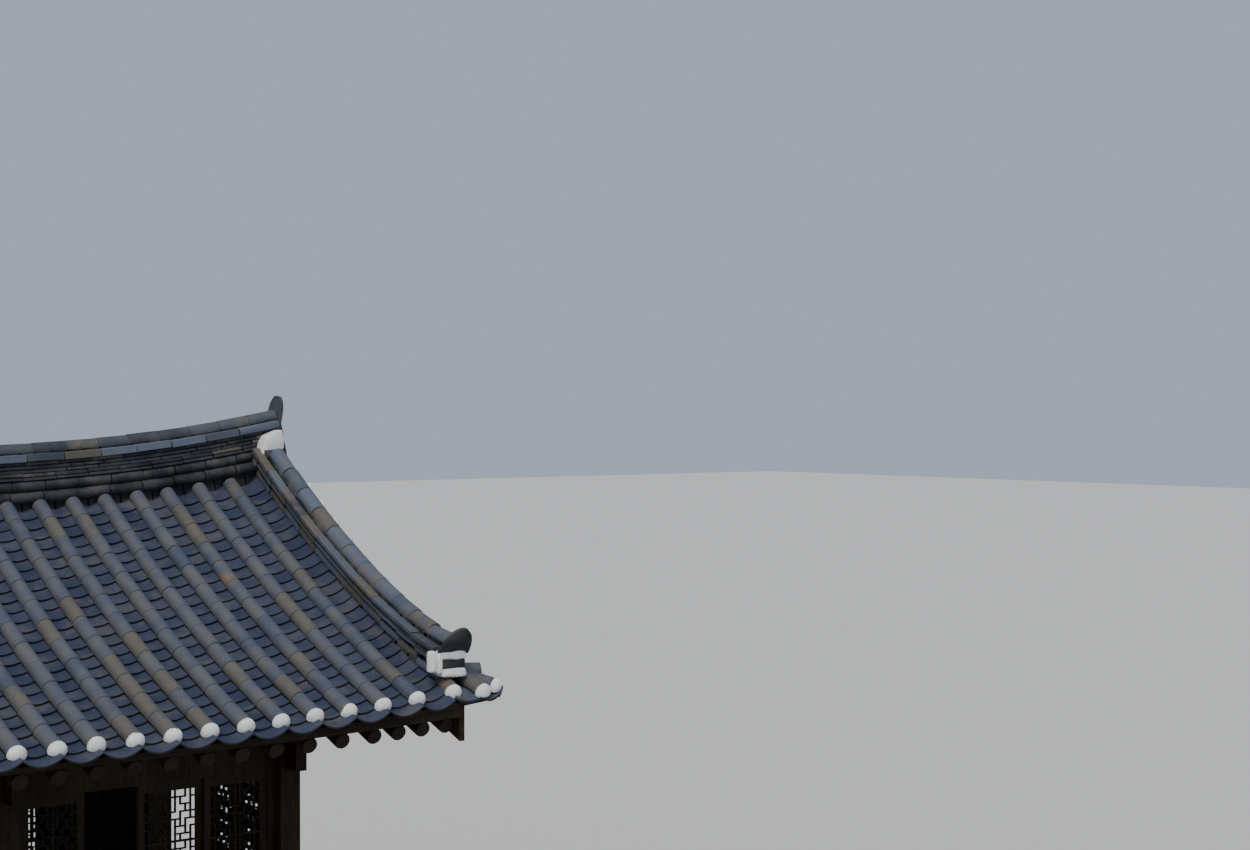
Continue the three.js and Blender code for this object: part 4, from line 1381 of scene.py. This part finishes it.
@dataclass
class FloorWork(Trade):
    """The boards of the floor."""

    half_x: float = 3.45
    half_y: float = 2.25
    top: float = 0.85
    width: float = 0.225
    joint: float = 1.2
    gap: float = 0.003
    rise: float = 0.008
    edge: float = 0.0015

    def build(self) -> None:
        """Lays the boards, long along X, in three lengths."""
        heap = Heap(301)
        count = round(2 * self.half_y / self.width)
        step = 2 * self.half_y / count
        cuts = (-self.half_x, -self.joint, self.joint, self.half_x)
        for i in range(count):
            y = -self.half_y + (i + 0.5) * step
            for start, end in zip(cuts, cuts[1:]):
                board = slab(end - start - self.gap, step - self.gap, self.rise, self.edge)
                heap.add(board, Matrix.Translation(((start + end) / 2, y, self.top)), (0.5, 0.5, 0.0))
        self.shop.piece("floor_boards", heap.bm, pine(Way.X), "wood")


@dataclass
class CadDressing(Trade):
    """Gives each node of the frame its finish."""

    def build(self) -> None:
        """Dresses every node by its name."""
        for name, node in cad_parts.items():
            node.data.materials.clear()
            node.data.materials.append(self.shop.material(self.finish(name)))

    def finish(self, name: str) -> Finish:
        """Picks a node's finish."""
        if name == "stone_platform":
            return GRANITE
        if "gable_wall" in name:
            return PLASTER
        # dark mortar that also stands as painted shade
        if "tile_bed" in name or name.endswith("_ridge"):
            return EARTH_AND_SHADE
        # the back bays take near-black pine as painted shade of the interior
        if name in ("left_back_bay", "right_back_bay"):
            return INTERIOR_SHADE_PINE
        if "purlin" in name:
            return pine(Way.X)
        if "cross_frame" in name or "rafters" in name or "bargeboards" in name:
            return pine(Way.Y)
        return pine(Way.Z)


@dataclass
class Studio:
    """The camera of the photograph's view, the floor and the lights."""

    focal: float = 60.09
    yaw: float = 38.21
    pitch: float = -0.516
    at: Triple = (-4.865, -17.706, 5.766)
    floor_half: float = 120.0
    floor_drop: float = 0.001
    floor_colour: Colour = rgb(0.56, 0.555, 0.54)
    sky_colour: Colour = rgb(0.7, 0.81, 1.0)
    sky_strength: float = 0.55
    key_colour: Triple = (1.0, 0.94, 0.85)
    key_energy: float = 2.8
    key_spread: float = 30.0
    key_turn: Triple = (40.0, 0.0, -45.0)

    def build(self) -> None:
        """Builds the studio."""
        self.camera()
        self.floor()
        self.lights()

    def camera(self) -> None:
        """Sets the camera where the photograph was taken from."""
        data = bpy.data.cameras.new("camera")
        data.lens = self.focal
        data.sensor_width = 36.0
        data.clip_end = 500.0
        camera = put("camera", data)
        camera.location = self.at
        camera.rotation_euler = (math.radians(90.0 + self.pitch), 0.0, math.radians(-self.yaw))
        bpy.context.scene.camera = camera

    def floor(self) -> None:
        """Lays the pale floor."""
        bm = bmesh.new()
        bmesh.ops.create_grid(bm, x_segments=1, y_segments=1, size=self.floor_half)
        bmesh.ops.translate(bm, vec=(0, 0, -self.floor_drop), verts=bm.verts)
        mesh = bpy.data.meshes.new("floor_stage")
        bm.to_mesh(mesh)
        bm.free()
        material = bpy.data.materials.new("stage")
        material.use_nodes = True
        shader = material.node_tree.nodes["Principled BSDF"]
        shader.inputs["Base Color"].default_value = self.floor_colour
        shader.inputs["Roughness"].default_value = 0.95
        mesh.materials.append(material)
        put("floor_stage", mesh)

    def lights(self) -> None:
        """Hangs a soft sky and one broad lamp from the front left."""
        world = bpy.data.worlds.new("sky")
        world.use_nodes = True
        back = world.node_tree.nodes["Background"]
        back.inputs["Color"].default_value = self.sky_colour
        back.inputs["Strength"].default_value = self.sky_strength
        bpy.context.scene.world = world
        data = bpy.data.lights.new("key", "SUN")
        data.energy = self.key_energy
        data.angle = math.radians(self.key_spread)
        data.color = self.key_colour
        put("key", data).rotation_euler = [math.radians(angle) for angle in self.key_turn]


def main() -> None:
    """Builds the house's finish and the studio, and reports each step."""
    logging.basicConfig(level=logging.INFO, format="%(message)s")
    shop = Workshop()
    roof = RoofShape()
    tiles = TileField(shop, roof)
    for part in (
        CadDressing(shop),
        Studio(),
        tiles,
        BedWork(shop, roof, tiles),
        RidgeWork(shop, roof),
        CornerWork(shop, roof),
        VergeWork(shop, roof),
        EaveWork(shop, roof),
        LatticeWork(shop),
        StoneWork(shop),
        FloorWork(shop),
    ):
        part.build()
        log.info("built %s", type(part).__name__)
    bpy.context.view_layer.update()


if __name__ == "__main__":
    main()
